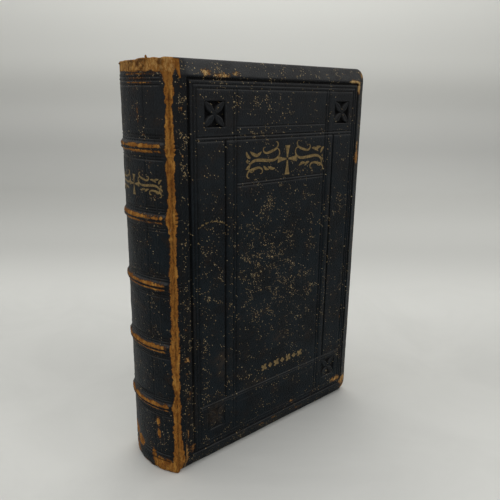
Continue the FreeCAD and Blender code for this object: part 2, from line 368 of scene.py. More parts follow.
def cover_relief(u, z):
    """Height of the tooled leather over the cover's plane, u from the joint."""
    edge = np.minimum(z, HEIGHT - z)
    framed = between(u, FRAME_LEFT, FRAME_RIGHT, 0.4) * step(edge, FRAME_INSET - 0.4, FRAME_INSET + 0.4)
    upright = np.minimum(np.abs(u - FRAME_LEFT), np.abs(u - FRAME_RIGHT))
    level = np.abs(edge - FRAME_INSET)
    on_upright = step(edge, FRAME_INSET - 0.8, FRAME_INSET - 0.3)
    on_level = between(u, FRAME_LEFT - 0.5, FRAME_RIGHT + 0.5, 0.3)
    high = groove(upright, 1.1, 1.3) * on_upright
    high = np.minimum(high, groove(level, 1.05, 1.2) * on_level)
    for inset in INNER_LINES:
        inner_u = np.minimum(u - FRAME_LEFT - inset, FRAME_RIGHT - inset - u)
        inner_z = edge - FRAME_INSET - inset
        box_distance = np.minimum(inner_u, inner_z)
        high = high + fine_line(box_distance) * framed
    in_u = np.minimum(u - FRAME_LEFT, FRAME_RIGHT - u) - INNER_LINES[1]
    in_z = edge - FRAME_INSET - INNER_LINES[1]
    field_in = step(in_u, -0.2, 0.4) * step(in_z, -0.2, 0.4)
    side = np.abs(u - FRAME_CENTRE)
    for offset in PILLAR:
        high = high + fine_line(side - offset) * field_in
    upper = step(z, HEIGHT / 2 - 0.5, HEIGHT / 2 + 0.5)
    body = between(z, LOW_BARS[2], HEIGHT - CROSS_BARS[2], 0.5)
    high = high + groove(side - SIDE_PANEL, 0.9, 0.95) * body
    high = high + 0.25 * between(side, PILLAR[1], SIDE_PANEL, 0.3) * body
    centre = 1 - step(side, PILLAR[0] - 0.6, PILLAR[0] - 0.2)
    for bars, here in ((CROSS_BARS, upper), (LOW_BARS, 1 - upper)):
        for inset in bars[1:]:
            high = high + fine_line(edge - inset) * field_in * here
        high = high + 0.8 * fine_line(edge - bars[0]) * centre * here
    for inset in TITLE_BARS:
        high = high + 0.8 * fine_line(edge - inset) * centre * upper
    high = high + 0.6 * fine_line(z - LOW_LINE) * centre
    dx = side - SQUARE_OFFSET
    dz = edge - SQUARE_INSET
    near_square = step(SQUARE_HALF + 1.2 - np.maximum(np.abs(dx), np.abs(dz)), 0, 0.3)
    high = high * (1 - near_square) + corner_square(dx, dz) * near_square
    for band in BAND_Z:
        for lean, foot in ((-1, 3.4), (1, 3.4), (0, 0.0)):
            line_z = band + lean * foot * np.clip(1 - (u + 2) / 13.0, 0.25, 1)
            here = between(u, 1.5, FRAME_LEFT - 1.0, 0.6)
            high = high + 0.9 * fine_line((z - line_z) * 1.1, here)
    pressed_flat = 0.6 * spot(u, z, FRAME_CENTRE - SQUARE_OFFSET, SQUARE_INSET, 13, 13)
    return high * (0.42 + 0.58 * step(z, 20, 80)) * (1 - pressed_flat)


def old_leather(u, z):
    """Shallow lumps of a skin that has been handled and pressed for a century."""
    return 0.28 * (rough_field(u, z, 34, 5) - 0.5) + 0.10 * (rough_field(u, z, 7, 9) - 0.5)


# Patches, as (across from the joint, height, half width, half height, strength).
FRONT_RUBS = [
    (74, 5, 62, 3.6, 0.65),
    (66, 118, 34, 60, 0.75), (58, 139, 16, 10, 0.95), (72, 128, 26, 12, 0.85), (98, 96, 22, 22, 0.75),
    (84, 108, 26, 18, 0.8), (60, 106, 18, 14, 0.85), (70, 152, 8, 12, 0.8), (55, 216, 26, 14, 0.6),
    (76, 212, 12, 10, 0.55), (27, 222, 18, 6, 0.55), (60, 198, 18, 5, 0.75), (26, 132, 14, 8, 0.6),
    (25, 104, 14, 18, 0.55), (8, 118, 5, 60, 0.7), (8, 60, 6, 30, 0.8), (20, 60, 6, 40, 0.6),
    (134, 150, 10, 9, 0.8), (128, 130, 6, 8, 0.7), (103, 84, 18, 14, 0.6), (108, 132, 12, 16, 0.5),
    (60, 170, 14, 8, 0.45), (98, 162, 6, 12, 0.6), (118, 70, 8, 10, 0.6), (28, 228, 16, 5, 0.85),
    (90, 228, 30, 4, 0.5), (40, 44, 16, 10, 0.5), (122, 100, 6, 40, 0.45),
]
FRONT_WORN = [
    (4.6, 10, 3.4, 15.0, 0.80),
    (23, 228.5, 5.5, 3.2, 0.66), (33, 227.4, 9.0, 2.4, 0.60), (43, 228.4, 6.0, 2.0, 0.56),
    (147.2, 223.0, 2.4, 7.0, 0.80),
    (142, 226.7, 8.0, 1.6, 0.78), (149.2, 178, 4.0, 7.0, 0.95), (148.8, 186, 2.4, 6.0, 0.70),
    (139, 14.5, 8.5, 3.6, 0.68), (149, 10, 8.0, 5.5, 0.78), (153, 3, 8.0, 4.5, 0.8),
    (93, 13.5, 3.5, 1.6, 0.62), (77, 7.0, 4.0, 2.2, 0.58), (66, 6.5, 5.0, 2.0, 0.56),
    (100, 5.0, 9.0, 1.8, 0.55),
    (152, 231, 5, 4.5, 0.6), (9, 51, 2.0, 2.6, 0.60), (7, 74, 2.6, 2.0, 0.56), (10, 14, 3.0, 5.0, 0.60),
    (140.5, 64, 0.8, 9.0, 0.50), (153.5, 120, 1.6, 40, 0.50), (153.5, 60, 1.6, 26, 0.52),
]
FRONT_STAINS = [
    (32, 65, 7, 6, 0.9), (27, 30, 9, 9, 0.9), (78, 66, 6, 4, 0.7), (32, 58, 5, 8, 0.5),
    (60, 40, 14, 5, 0.35),
    (9, 40, 6, 26, 0.4), (10, 90, 5, 30, 0.3),
]
BACK_RUBS = [
    (78, 110, 50, 60, 0.45), (50, 150, 26, 22, 0.6), (104, 92, 24, 26, 0.6), (84, 60, 26, 16, 0.5),
    (30, 200, 22, 20, 0.5), (120, 190, 24, 22, 0.55), (8, 118, 5, 90, 0.6), (128, 40, 20, 18, 0.6),
]
BACK_WORN = [
    (150, 8, 9, 5.5, 0.75), (152, 229, 8, 5, 0.72), (70, 6, 6, 2.4, 0.60), (110, 228.5, 7, 2.2, 0.6),
    (150.5, 120, 2.2, 7, 0.7), (40, 227.5, 6, 2, 0.6),
]


def cover_wear(u, z, side):
    """Masks for a cover: worn through, and rubbed."""
    seed, rubs, bare = (40, FRONT_RUBS, FRONT_WORN) if side == "front" else (90, BACK_RUBS, BACK_WORN)
    rub = 0.12 + 0.25 * step(rough_field(u, z, 24, seed), 0.5, 0.75)
    rub = np.maximum(rub, patches(rubs, u, z))
    worn = patches(bare, u, z)
    edge = np.minimum(np.minimum(z, HEIGHT - z), WIDTH - u)
    rub = np.maximum(rub, 0.45 * (1 - step(edge, 5.0, 9.0)))
    margin = between(u, 1.0, FRAME_LEFT, 1.0) * step(rough_field(u * 0, z, 26, seed + 3), 0.30, 0.55)
    rub = np.maximum(rub, 0.82 * margin)
    nicks = 0.56 * between(u, 4.0, 9.5, 1.0) * step(field(u, z, 3.4, seed + 5), 0.80, 0.92)
    worn = np.maximum(worn, nicks * step(rough_field(u * 0, z, 26, seed + 3), 0.34, 0.6))
    rub = np.maximum(rub, 0.97 * step(worn, 0.1, 0.3) * step(z, 205, 215))
    return worn, np.clip(rub, 0, 1)


# ---------------------------------------------------------------------------
# Relief and wear of the spine and joints
# ---------------------------------------------------------------------------
def band_relief(u, z):
    """Raised bands with a fine line on their crest, and ruled lines beside them."""
    high = np.zeros(np.broadcast(u, z).shape)
    reach = step(-u, 1.0, 6.5) * step(u + SPINE_LENGTH, 1.0, 6.5)
    for band in BAND_Z:
        wander = 0.5 * (field(u, z * 0 + band, 11, 3) - 0.5)
        d = z - band - wander
        high = high + reach * BAND_RISE * (1 - step(np.abs(d), 1.2, BAND_HALF))
        high = high + reach * groove(d + 0.5, 0.45, 0.35)
        for offset in BAND_LINES:
            high = high + reach * 0.8 * fine_line(np.abs(d) - offset)
    return high


def spine_lines(u, z):
    """Rules at head and tail, and a faint upright line down each compartment."""
    reach = step(-u, 3.0, 7.0) * step(u + SPINE_LENGTH, 3.0, 7.0)
    high = np.zeros(np.broadcast(u, z).shape)
    for z_line in SPINE_RULES:
        high = high + reach * fine_line(z - z_line)
    return high + reach * 0.5 * fine_line(u + UPRIGHT_LINE + 0.3 * field(u * 0, z, 30, 8))


# Patches on the spine, as (round the skin from the joint, height, half width, half height, strength).
SPINE_WORN = [
    (-42, 16, 11.0, 6.0, 0.86), (-32, 12, 7.0, 6.0, 0.84), (-42, 3.5, 12.0, 6.0, 0.92),
    (-12, 4.0, 9.0, 8.0, 0.88), (-13.3, 33, 2.6, 5.5, 0.62), (-12.9, 25, 2.2, 6.5, 0.65),
    (-17.6, 9, 2.8, 7.0, 0.80), (-7, 5, 5.0, 6.5, 0.88), (-20, 208, 1.2, 10.0, 0.50),
    (-47, 60, 2.0, 16.0, 0.50), (-48, 180, 1.6, 12.0, 0.52), (-36, 231, 6, 3, 0.80),
    (-24, 0.6, 10.0, 1.2, 0.60),
]


def spine_wear(u, z):
    """Masks over the spine and both joints."""
    d_front = u
    d_back = -(u + SPINE_LENGTH)
    width_here = 1.0 + 0.33 * sum(near(z, band, 9) for band in BAND_Z)
    flare = 1.0 + 1.1 * step(z, 221, 231) + 0.5 * (1 - step(z, 3, 24)) + 1.2 * (1 - step(z, 1, 8))
    nibble = 1.8 * (rough_field(u * 0, z, 2.0, 39) - 0.5)
    low = -2.7 * flare * width_here + 1.4 * (field(z * 0, z, 9, 31) - 0.5) + nibble
    widening = 1 + 1.5 * step(z, 225, 232) + 1.3 * (1 - step(z, 6, 36))
    high = 1.9 * width_here * widening + 1.1 * (field(z * 0 + 9, z, 7, 33) - 0.5) - nibble
    strip = step(d_front - low, -1.5, 1.5) * (1 - step(d_front - high, -1.3, 1.3))
    back_low = -2.6 + 2.4 * (field(z * 0 + 5, z, 12, 35) - 0.5)
    back = 0.85 * step(d_back - back_low, -0.9, 0.9) * (1 - step(d_back, 0.8, 2.6))
    back = back * step(rough_field(u, z, 26, 37), 0.34, 0.52)
    worn = np.maximum(strip, back)
    drop = 0.9 * step(-u, 8, 40)
    cap = step(z - drop, 226.6, 229.0) * (0.95 - 0.30 * step(rough_field(u, z, 5, 21), 0.5, 0.75))
    worn = np.maximum(worn, cap * step(-u, 1.0, 4.0))
    worn = np.maximum(worn, patches(SPINE_WORN, u, z))
    for z_line in RUBBED_RULES:
        rubbed = near(z, z_line, 1.3) * step(rough_field(u, z * 0 + z_line, 9, 49), 0.30, 0.55)
        worn = np.maximum(worn, 0.60 * rubbed * step(-u, 4, 7) * step(u + SPINE_LENGTH, 4, 8))
    for n, band in enumerate(BAND_Z):
        broad = near(z, band - 0.2, 4.4)
        gap = 0.55 * near(z, band - 0.55, 1.1)
        patchy = step(rough_field(u, z * 0.7 + 13 * n, 5, 43), 0.25, 0.60)
        side_fade = step(-u, 4.0, 6.5) * step(u + SPINE_LENGTH, 3, 9)
        band_worn = (0.80 * np.clip(1.35 * broad, 0, 1) - gap) * (0.70 + 0.30 * patchy) * side_fade
        worn = np.maximum(worn, band_worn)
    rub = 0.10 + 0.24 * step(rough_field(u, z, 15, 47), 0.45, 0.7)
    rub = np.maximum(rub, 0.70 * spot(u, z, -18, 205, 8, 14))
    rub = np.maximum(rub, 0.60 * spot(u, z, -16, 22, 12, 18))
    rub = np.maximum(rub, step(z, 223, 229))
    return np.clip(worn, 0, 1), np.clip(rub, 0, 1)


def joint_crease(u, z):
    """The crease where the cover bends, deeper towards the tail; also painted darker as shade."""
    wander = 0.9 * (rough_field(u * 0, z, 14, 141) - 0.5)
    depth = 0.35 + 0.65 * step(rough_field(u * 0, z, 30, 143) + 0.25 * (1 - z / HEIGHT), 0.40, 0.62)
    second = 0.7 * near(u, -1.9 + 0.8 * wander, 0.8) * step(field(u * 0, z, 17, 145), 0.5, 0.8)
    return np.clip(depth * near(u, -0.2 + wander, 1.1) + second, 0, 1)


def coverness(u):
    """0 on the spine, 1 on the cover: how much the head and tail edges bevel."""
    return step(u, -1.5, 3.5)


def head_tail_wrap(u, z_flat, level, at_head):
    """Place over the head or tail edge, as (z, inward) for a wrap level."""
    out_c, in_c = wrap(level, "cover")
    out_s, in_s = wrap(level, "spine")
    f = coverness(u)
    out = out_s * (1 - f) + out_c * f
    inward = in_s * (1 - f) + in_c * f
    z = np.where(at_head, HEAD_CREST + out, TAIL_CREST - out)
    return np.where(level > 0, z, z_flat), np.where(level > 0, inward, 0.0)


def skin_rows(breaks, spacing):
    """Rows from the tail turn-in over the flat to the head turn-in: (z, level, at head)."""
    flat = spaced(breaks + [TAIL_CREST, HEAD_CREST], spacing)
    rows = [(TAIL_CREST, level, False) for level in WRAP_LEVELS[:0:-1]]
    rows += [(z, 0.0, False) for z in flat]
    rows += [(HEAD_CREST, level, True) for level in WRAP_LEVELS[1:]]
    return [np.array(c) for c in zip(*rows)]


def spine_side_skin(name, u_values, breaks, spacing, relief, side="front", ragged_head=0.0):
    """A piece of the covering skin on the spine or a joint, with its worn, rubbed, painted-shade and
    staining masks.
    """
    z_flat, level, at_head = skin_rows(breaks, spacing)
    u, zf = np.meshgrid(u_values, z_flat, indexing="ij")
    lv = np.broadcast_to(level, u.shape)
    hd = np.broadcast_to(at_head, u.shape)
    z, inward = head_tail_wrap(u, zf, lv, hd)
    x, y, nx, ny = skin_path(u)
    high = relief(u, z) * (lv <= 3)
    loss = ragged_head * (1 - coverness(u)) * hd * step(lv, 1.0, 4.0)
    slope = 1.5 * step(-u, 8, 42) if side == "front" else 1.5
    z = z - loss * (0.2 + slope + 1.1 * step(rough_field(u, u * 0 + 3, 5.5, 61), 0.35, 0.75))
    frayed = ragged_head * (1 - coverness(u)) * (~hd) * step(lv, 0.5, 2.5) * step(-u, 4.0, 8.0)
    z = z + 0.9 * frayed * step(rough_field(u, u * 0 + 7, 4.0, 67), 0.40, 0.65)
    grid = np.stack([x + nx * (high - inward), y + ny * (high - inward), z], -1)
    skin = u if side == "front" else -SPINE_LENGTH - u
    distance = z + np.where(hd, inward, -inward)
    worn, rub = spine_wear(skin, np.clip(z, 0, HEIGHT))
    lines = band_relief(u, z) + spine_lines(u, z) + cover_relief(np.maximum(u, 0), z) * step(u, -1.0, 2.0)
    # Painted shade: lines painted darker by their depth, and the cover side of the joint painted darker as
    # shade.
    painted_shade = np.maximum(np.clip(-lines * 2.2, 0, 1), 0.40 * step(u, 0.0, 3.0))
    # Painted shade in the joint crease, with a dark spot near the tail and a darkened rim at the head.
    stain_and_shade = np.maximum(joint_crease(u, z), 0.75 * spot(skin, z, -43, 3, 8, 6))
    rim = step(lv, 0.6, 1.3) * hd * step(-skin, 2.0, 5.0)
    stain_and_shade = np.maximum(stain_and_shade, rim * step(rough_field(u, z * 0, 2.5, 65), 0.32, 0.55))
    return shell(name, mirrored(grid, side), np.full(u.shape, LEATHER), np.stack([skin, distance], -1),
                 {"worn": worn, "rub": rub, "painted_shade": painted_shade, "stain_and_shade": stain_and_shade}, flip=(side == "back"))


def bump_lumps(u, z):
    """Small lumps of the spine's skin."""
    return 0.35 * (rough_field(u, z, 9, 71) - 0.5) + 0.2 * (rough_field(u, z, 2.5, 73) - 0.5)


def spine_relief(u, z):
    """Height of the spine's skin over its smooth curve."""
    return band_relief(u, z) + spine_lines(u, z) + bump_lumps(u, z)


def joint_relief(u, z):
    """The hinge: fibres roughened where it is worn through, and the ends of the bands."""
    worn, _ = spine_wear(u, z)
    fibres = 0.35 * (rough_field(u, z, 1.6, 81) - 0.5) + 0.5 * (rough_field(u, z, 5, 83) - 0.5)
    fade = step(u + STRIP_SPINE, 0, 1.5) * (1 - step(u, STRIP_COVER - 1.5, STRIP_COVER))
    spine_part = spine_relief(u, z) * (1 - step(u, -2.0, 1.0))
    cover_part = (cover_relief(np.maximum(u, 0), z) + old_leather(u, z)) * step(u, -1.0, 2.0)
    return spine_part + cover_part + fade * worn * (fibres - 0.25) - 0.5 * joint_crease(u, z)


# Heights at which a row of points is needed: across each band, its lines and the rules.
BAND_ROWS = (-6.4, -6.0, -5.6, -5.0, -4.6, -4.2, -3.0, -2.2, -1.5, -0.95, -0.5,
             -0.05, 0.5, 1.5, 2.2, 3.0, 4.2, 4.6, 5.0, 5.6, 6.0, 6.4)
band_breaks = beside(BAND_Z, BAND_ROWS) + beside(SPINE_RULES, (-0.45, 0, 0.45))
band_breaks = [b for b in band_breaks if TAIL_CREST < b < HEAD_CREST]

spine_u = spaced([-STRIP_SPINE, -16.1, -15.5, -14.9, -(SPINE_LENGTH - STRIP_SPINE)], 0.8)
spine_leather = spine_side_skin("spine_leather_skin", spine_u, band_breaks, 1.1, spine_relief,
                                ragged_head=1.0)
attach(spine_leather, "root")
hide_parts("spine_leather")

strip_u = spaced([-STRIP_SPINE, STRIP_COVER], 0.45)
joints = {}
for side in ("front", "back"):
    joints[side] = spine_side_skin(f"{side}_joint_skin", strip_u, band_breaks, 0.9, joint_relief, side,
                                   ragged_head=0.6)
    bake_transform(joints[side])
    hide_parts(f"{side}_joint_leather")


# ---------------------------------------------------------------------------
# The covers' leather
# ---------------------------------------------------------------------------
def corner_reach(a, b):
    """How far a rounded corner lies along the direction (a, b), in bevel widths."""
    length = np.hypot(a, b)
    length = np.where(length < 1e-9, 1, length)
    dx, dz = a / length, b / length
    straight = 1 / np.maximum(np.maximum(dx, dz), 1e-9)
    radius = CORNER / BEVEL
    k = 1 - radius
    dot = (dx + dz) * k
    curved = dot + np.sqrt(np.maximum(dot ** 2 - 2 * k ** 2 + radius ** 2, 0))
    on_arc = (dx * curved > k) & (dz * curved > k)
    return np.where(on_arc, curved, straight) / straight


GROOVE_PLACES = (-1.1, -0.75, -0.4, 0, 0.4, 0.75, 1.1)
FINE_PLACES = (-0.75, -0.4, 0, 0.4, 0.75)
LINE_PLACES = (-0.8, -0.4, 0, 0.4, 0.8)


def cover_skin(side):
    """The leather of one cover, from the joint over three bevelled edges to its turn-ins."""
    lines_u = beside((FRAME_LEFT, FRAME_RIGHT), GROOVE_PLACES)
    for inset in INNER_LINES:
        lines_u += beside((FRAME_LEFT + inset, FRAME_RIGHT - inset), FINE_PLACES)
    for offset in PILLAR + (SIDE_PANEL,):
        lines_u += beside((FRAME_CENTRE - offset, FRAME_CENTRE + offset), LINE_PLACES)
    squares_u = beside((FRAME_CENTRE - SQUARE_OFFSET, FRAME_CENTRE + SQUARE_OFFSET), SQUARE_PLACES)
    crest_u = WIDTH - BEVEL
    inner_u = [u for u in lines_u + squares_u + [STRIP_COVER, crest_u] if STRIP_COVER <= u <= crest_u]
    u_flat = spaced(inner_u, 2.2)
    frame_insets = (FRAME_INSET, FRAME_INSET + INNER_LINES[0], FRAME_INSET + INNER_LINES[1])
    lines_z = []
    for inset in frame_insets + CROSS_BARS + LOW_BARS + TITLE_BARS:
        lines_z += beside((inset, HEIGHT - inset), LINE_PLACES)
    squares_z = beside((SQUARE_INSET, HEIGHT - SQUARE_INSET), SQUARE_PLACES)
    breaks = [z for z in lines_z + squares_z if TAIL_CREST < z < HEAD_CREST]
    z_flat, z_level, at_head = skin_rows(breaks, 2.2)
    u_all = np.concatenate([u_flat, np.full(len(WRAP_LEVELS) - 1, crest_u)])
    u_level = np.concatenate([np.zeros(len(u_flat)), WRAP_LEVELS[1:]])
    uf, zf = np.meshgrid(u_all, z_flat, indexing="ij")
    lu, lz = np.meshgrid(u_level, z_level, indexing="ij")
    hd = np.broadcast_to(at_head, uf.shape)
    level = np.maximum(lu, lz)
    share_u = np.where(level > 0, lu / np.maximum(level, 1e-9), 0)
    share_z = np.where(level > 0, lz / np.maximum(level, 1e-9), 0)
    out, inward = wrap(level, "cover")
    rounding = corner_reach(share_u, share_z)
    u = uf + out * share_u * rounding
    z_out = out * share_z * rounding
    z = zf + np.where(hd, z_out, -z_out)
    high = (cover_relief(u, z) * (level <= 0.5) + old_leather(u, z)) * (level <= 3)
    bruise = 0.35 * (rough_field(u, z, 6, 51) - 0.5) * (level > 1.2) * (level < 7)
    x = JOINT_X + u
    y = -HALF + inward - high - bruise
    grid = np.stack([x, y, z], -1)
    worn, rub = cover_wear(u, z, side)
    stain_and_shade = patches(FRONT_STAINS if side == "front" else [], u, z)
    # Painted shade: tooled lines painted darker by their depth, and the margin between joint and frame
    # painted darker as shade.
    painted_shade = np.clip(-cover_relief(u, z) * 1.3, 0, 1) * (level <= 0.5)
    painted_shade = np.maximum(painted_shade, 0.5 * between(u, 0.0, FRAME_LEFT, 1.0))
    skin_u = u if side == "front" else -SPINE_LENGTH - u
    skin_u = skin_u + np.where(lu > 3, lu * 1.2, 0)
    skin_z = z + np.where(lz > 3, lz * 1.2, 0)
    return shell(f"{side}_cover_skin", mirrored(grid, side), np.full(u.shape, LEATHER),
                 np.stack([skin_u, skin_z], -1), {"worn": worn, "rub": rub, "painted_shade": painted_shade, "stain_and_shade": stain_and_shade},
                 flip=(side == "back"))


def slab(name, x0, x1, z0, z1, y0, y1, corner, side):
    """A flat board with rounded fore-edge corners."""
    steps = 8
    outline = [(x0, z0), (x0, z1)]
    for k in range(steps + 1):
        a = math.pi / 2 * (1 - k / steps)
        outline.append((x1 - corner + corner * math.cos(a), z1 - corner + corner * math.sin(a)))
    for k in range(steps + 1):
        a = -math.pi / 2 * k / steps
        outline.append((x1 - corner + corner * math.cos(a), z0 + corner + corner * math.sin(a)))
    count = len(outline)
    sign = 1 if side == "front" else -1
    points = [(x, sign * y0, z) for x, z in outline] + [(x, sign * y1, z) for x, z in outline]
    low = list(range(count))
    high = [k + count for k in low]
    faces = [low[::-1], high] + [(k, (k + 1) % count, (k + 1) % count + count, k + count) for k in low]
    if side == "back":
        faces = [f[::-1] for f in faces]
    uv = [(x - JOINT_X, z) for x, _, z in points]
    return mesh_object(name, points, faces, uv, smooth=False)


cover_pieces = {}
for side in ("front", "back"):
    skin = cover_skin(side)
    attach(skin, f"{side}_cover")
    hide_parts(f"{side}_cover_leather")
    board = slab(f"{side}_mill_board", JOINT_X + 0.5, FORE_X - 1.6, 1.6, HEIGHT - 1.6, -HALF + 4.3,
                 INNER_Y - 0.5, CORNER - 1.5, side)
    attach(board, f"{side}_cover")
    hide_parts(f"{side}_board")
    cover_pieces[side] = (skin, board)


# ---------------------------------------------------------------------------
# The block of pages
# ---------------------------------------------------------------------------
PAGE_CORNER = 8.0           # rounded corners of the leaves
FAN = 1.15                  # how much the leaves spread towards their backs
LEAF_LAYERS = 8             # bundles of leaves drawn in each gathering
BLOCK_HALF = abs(node_box("front_gutter_margin")[1].y)
BACK_RADIUS = SPINE_CENTRE - min(node_box("gathering_07")[0].x, node_box("gathering_08")[0].x)
BLOCK_WIDTH = PAGE_FORE_X - (SPINE_CENTRE - math.sqrt(BACK_RADIUS ** 2 - (BLOCK_HALF * FAN) ** 2))


def back_x(y):
    """The rounded back of the pages, where a leaf that lies at y ends."""
    return SPINE_CENTRE - np.sqrt(BACK_RADIUS ** 2 - (np.asarray(y) * FAN) ** 2)


def leaf_path(y, short):
    """Plan points of one leaf surface from the fore-edge to the back."""
    edge = float(back_x(y)) + BLOCK_WIDTH - short
    inner = JOINT_X + 3.0
    xs = [edge - PAGE_CORNER * (1 - math.cos(math.pi / 2 * k / 6)) for k in range(7)]
    rest = [xs[-1] + (inner - xs[-1]) * k / 5 for k in range(1, 6)]
    points = [(x, y) for x in xs + rest]
    points.append((max(JOINT_X - 0.3, float(back_x(y))), y * 1.08))
    points.append((float(back_x(y)) + 0.02, y * FAN))
    return edge, points


def gathering_piece(number):
    """A folded section drawn as bundles of leaves, each a little out of line."""
    thickness = 2 * BLOCK_HALF / GATHERINGS
    start = (number - 1) * thickness - BLOCK_HALF
    points, faces, lots = [], [], []
    for layer in range(LEAF_LAYERS):
        seed = number * 31 + layer * 7
        jitter = [float(hashed(np.array(seed), np.array(k), 5)) for k in range(4)]
        y0 = start + thickness * (layer + 0.06) / LEAF_LAYERS
        y1 = start + thickness * (layer + 0.94) / LEAF_LAYERS
        short = 0.28 * jitter[0] + (0.18 if layer in (0, LEAF_LAYERS - 1) else 0)
        top = BLOCK_HIGH.z - 0.2 * jitter[1]
        bottom = BLOCK_LOW.z + 0.2 * jitter[2]
        edge, first = leaf_path(y0, short)
        _, last = leaf_path(y1, short)
        base = len(points)
        for (xa, ya), (xb, yb) in zip(first, last):
            into = max(0.0, xa - (edge - PAGE_CORNER))
            drop = PAGE_CORNER - math.sqrt(max(PAGE_CORNER ** 2 - into ** 2, 0.0))
            points += [(xa, ya, bottom + drop), (xb, yb, bottom + drop),
                       (xb, yb, top - drop), (xa, ya, top - drop)]
            lots += [jitter[3]] * 4
        faces += bar_faces(base, len(first))
    uv = [(p[0] - JOINT_X, p[2]) for p in points]
    made = mesh_object(f"leaves_of_gathering_{number:02d}", points, [f[::-1] for f in faces], uv,
                       {"lot": lots}, smooth=False)
    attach(made, "root")
    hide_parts(f"gathering_{number:02d}")
    return made


gatherings = [gathering_piece(number) for number in range(1, GATHERINGS + 1)]


def free_leaf(side, node, number):
    """A whole leaf, bound at the gutter and free to turn."""
    low, high = node_box(node)
    outer = min(abs(low.y), abs(high.y)), max(abs(low.y), abs(high.y))
    start = LEAF_HINGE.x - 1.2
    short = 0.25 * number
    edge = PAGE_FORE_X - short
    bent = np.arange(start, start + 14, 0.9)
    flat = np.linspace(start + 15, edge - PAGE_CORNER, 14)
    curve = [edge - PAGE_CORNER + PAGE_CORNER * math.sin(math.pi / 2 * k / 8) for k in range(1, 9)]
    xs = np.concatenate([bent, flat, curve])
    into = np.clip(xs - (edge - PAGE_CORNER), 0, PAGE_CORNER)
    drop = PAGE_CORNER - np.sqrt(PAGE_CORNER ** 2 - into ** 2)
    share = np.linspace(0, 1, 12)
    x = np.repeat(xs[:, None], len(share), 1)
    z = (low.z + drop)[:, None] * (1 - share) + (high.z - drop)[:, None] * share
    y = np.full(x.shape, -outer[1])
    grid = np.stack([x, y, z], -1)
    lot = np.full(x.shape, 0.2 * number)
    made = shell(f"{side}_leaf_sheet_{number}", mirrored(grid, side), np.full(x.shape, outer[1] - outer[0]),
                 np.stack([x - JOINT_X, z], -1), {"lot": lot}, flip=(side == "back"))
    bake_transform(made)
    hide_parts(node)
    return made


free_leaves = {}
for side in ("front", "back"):
    for number in range(1, 5):
        node = f"{side}_flyleaf" if number == 1 else f"{side}_leaf_{number}"
        free_leaves[node] = free_leaf(side, node, number)


def endband(name):
    """Silk wound over a core that follows the back of the pages."""
    low, high = node_box(name)
    radius = (high.z - low.z) / 2
    middle = (high.z + low.z) / 2
    half_span = high.y - 0.02
    centre_radius = BACK_RADIUS - 1.4
    sweep_angle = math.asin(half_span / centre_radius)
    pitch = 0.75
    rings = int(2 * sweep_angle * centre_radius / pitch) * 4 + 1
    around = 14
    turn = np.linspace(-sweep_angle, sweep_angle, rings)[:, None]
    ring = np.arange(rings)[:, None]
    a = np.linspace(0, 2 * math.pi, around, endpoint=False)[None, :]
    wave = np.array([0.0, -0.06, -0.20, -0.06])[ring % 4]
    r = radius + wave - 0.02
    out = centre_radius + r * np.cos(a)
    x = SPINE_CENTRE - out * np.cos(turn)
    y = out * np.sin(turn)
    height = middle + r * np.sin(a)
    points = np.stack([x, y, np.broadcast_to(height, x.shape)], -1).reshape(-1, 3)
    faces = []
    for k in range(rings - 1):
        for c in range(around):
            d = (c + 1) % around
            faces.append((k * around + c, k * around + d, (k + 1) * around + d, (k + 1) * around + c))
    faces.append(tuple(range(around))[::-1])
    faces.append(tuple((rings - 1) * around + c for c in range(around)))
    uv = np.stack([np.repeat(np.arange(rings) / 4.0, around), np.tile(np.arange(around), rings)], -1)
    made = mesh_object(f"{name}_windings", points, faces, uv)
    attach(made, "root")
    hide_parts(name)
    return made


endbands = [endband("headband_silk"), endband("tailband_silk")]


# ---------------------------------------------------------------------------
# Gilt ornament, laid on the leather as narrow flat strips
# ---------------------------------------------------------------------------
def strip(points, widths):
    """Left and right edges of a strip that follows these points."""
    points = np.asarray(points, float)
    ahead = np.gradient(points, axis=0)
    ahead /= np.maximum(np.linalg.norm(ahead, axis=1, keepdims=True), 1e-9)
    off = np.stack([-ahead[:, 1], ahead[:, 0]], 1) * (np.asarray(widths, float) / 2)[:, None]
    return points + off, points - off


def scroll(kind, length, tightness=9.5, power=2.0, fullness=1.5, count=64):
    """An S or C scroll with a volute at each end, lying along the first axis."""
    t = np.linspace(0, 1, count)
    bend = np.abs(1 - 2 * t) ** power * tightness
    if kind == "S":
        bend = bend * np.sign(1 - 2 * t)
    angle = np.cumsum(bend) / count
    x = np.cumsum(np.cos(angle))
    y = np.cumsum(np.sin(angle))
    middle = count // 2
    tilt = angle[middle]
    x, y = x - x[middle], y - y[middle]
    x, y = x * math.cos(tilt) + y * math.sin(tilt), -x * math.sin(tilt) + y * math.cos(tilt)
    size = length / (x.max() - x.min())
    widths = 0.45 + fullness * np.sin(np.pi * t) ** 1.4
    return np.stack([x, y], 1) * size, widths


def leaf_shape(x, y, heading, length, width):
    """A slim leaf that grows from (x, y) and bows a little."""
    t = np.linspace(0, 1, 9)
    bow = 0.12 * length * np.sin(np.pi * t)
    px = x + length * t * math.cos(heading) - bow * math.sin(heading)
    py = y + length * t * math.sin(heading) + bow * math.cos(heading)
    return np.stack([px, py], 1), 0.15 + width * np.sin(np.pi * t) ** 0.8


def placed(shape, x, y, turn=0.0, flip=False):
    """A shape turned, mirrored if asked, and moved to (x, y)."""
    points, widths = shape
    if flip:
        points = points * np.array([-1, 1])
    c, s = math.cos(turn), math.sin(turn)
    if flip:
        s = -s
    moved = [points[:, 0] * c - points[:, 1] * s + x, points[:, 0] * s + points[:, 1] * c + y]
    return np.stack(moved, 1), widths


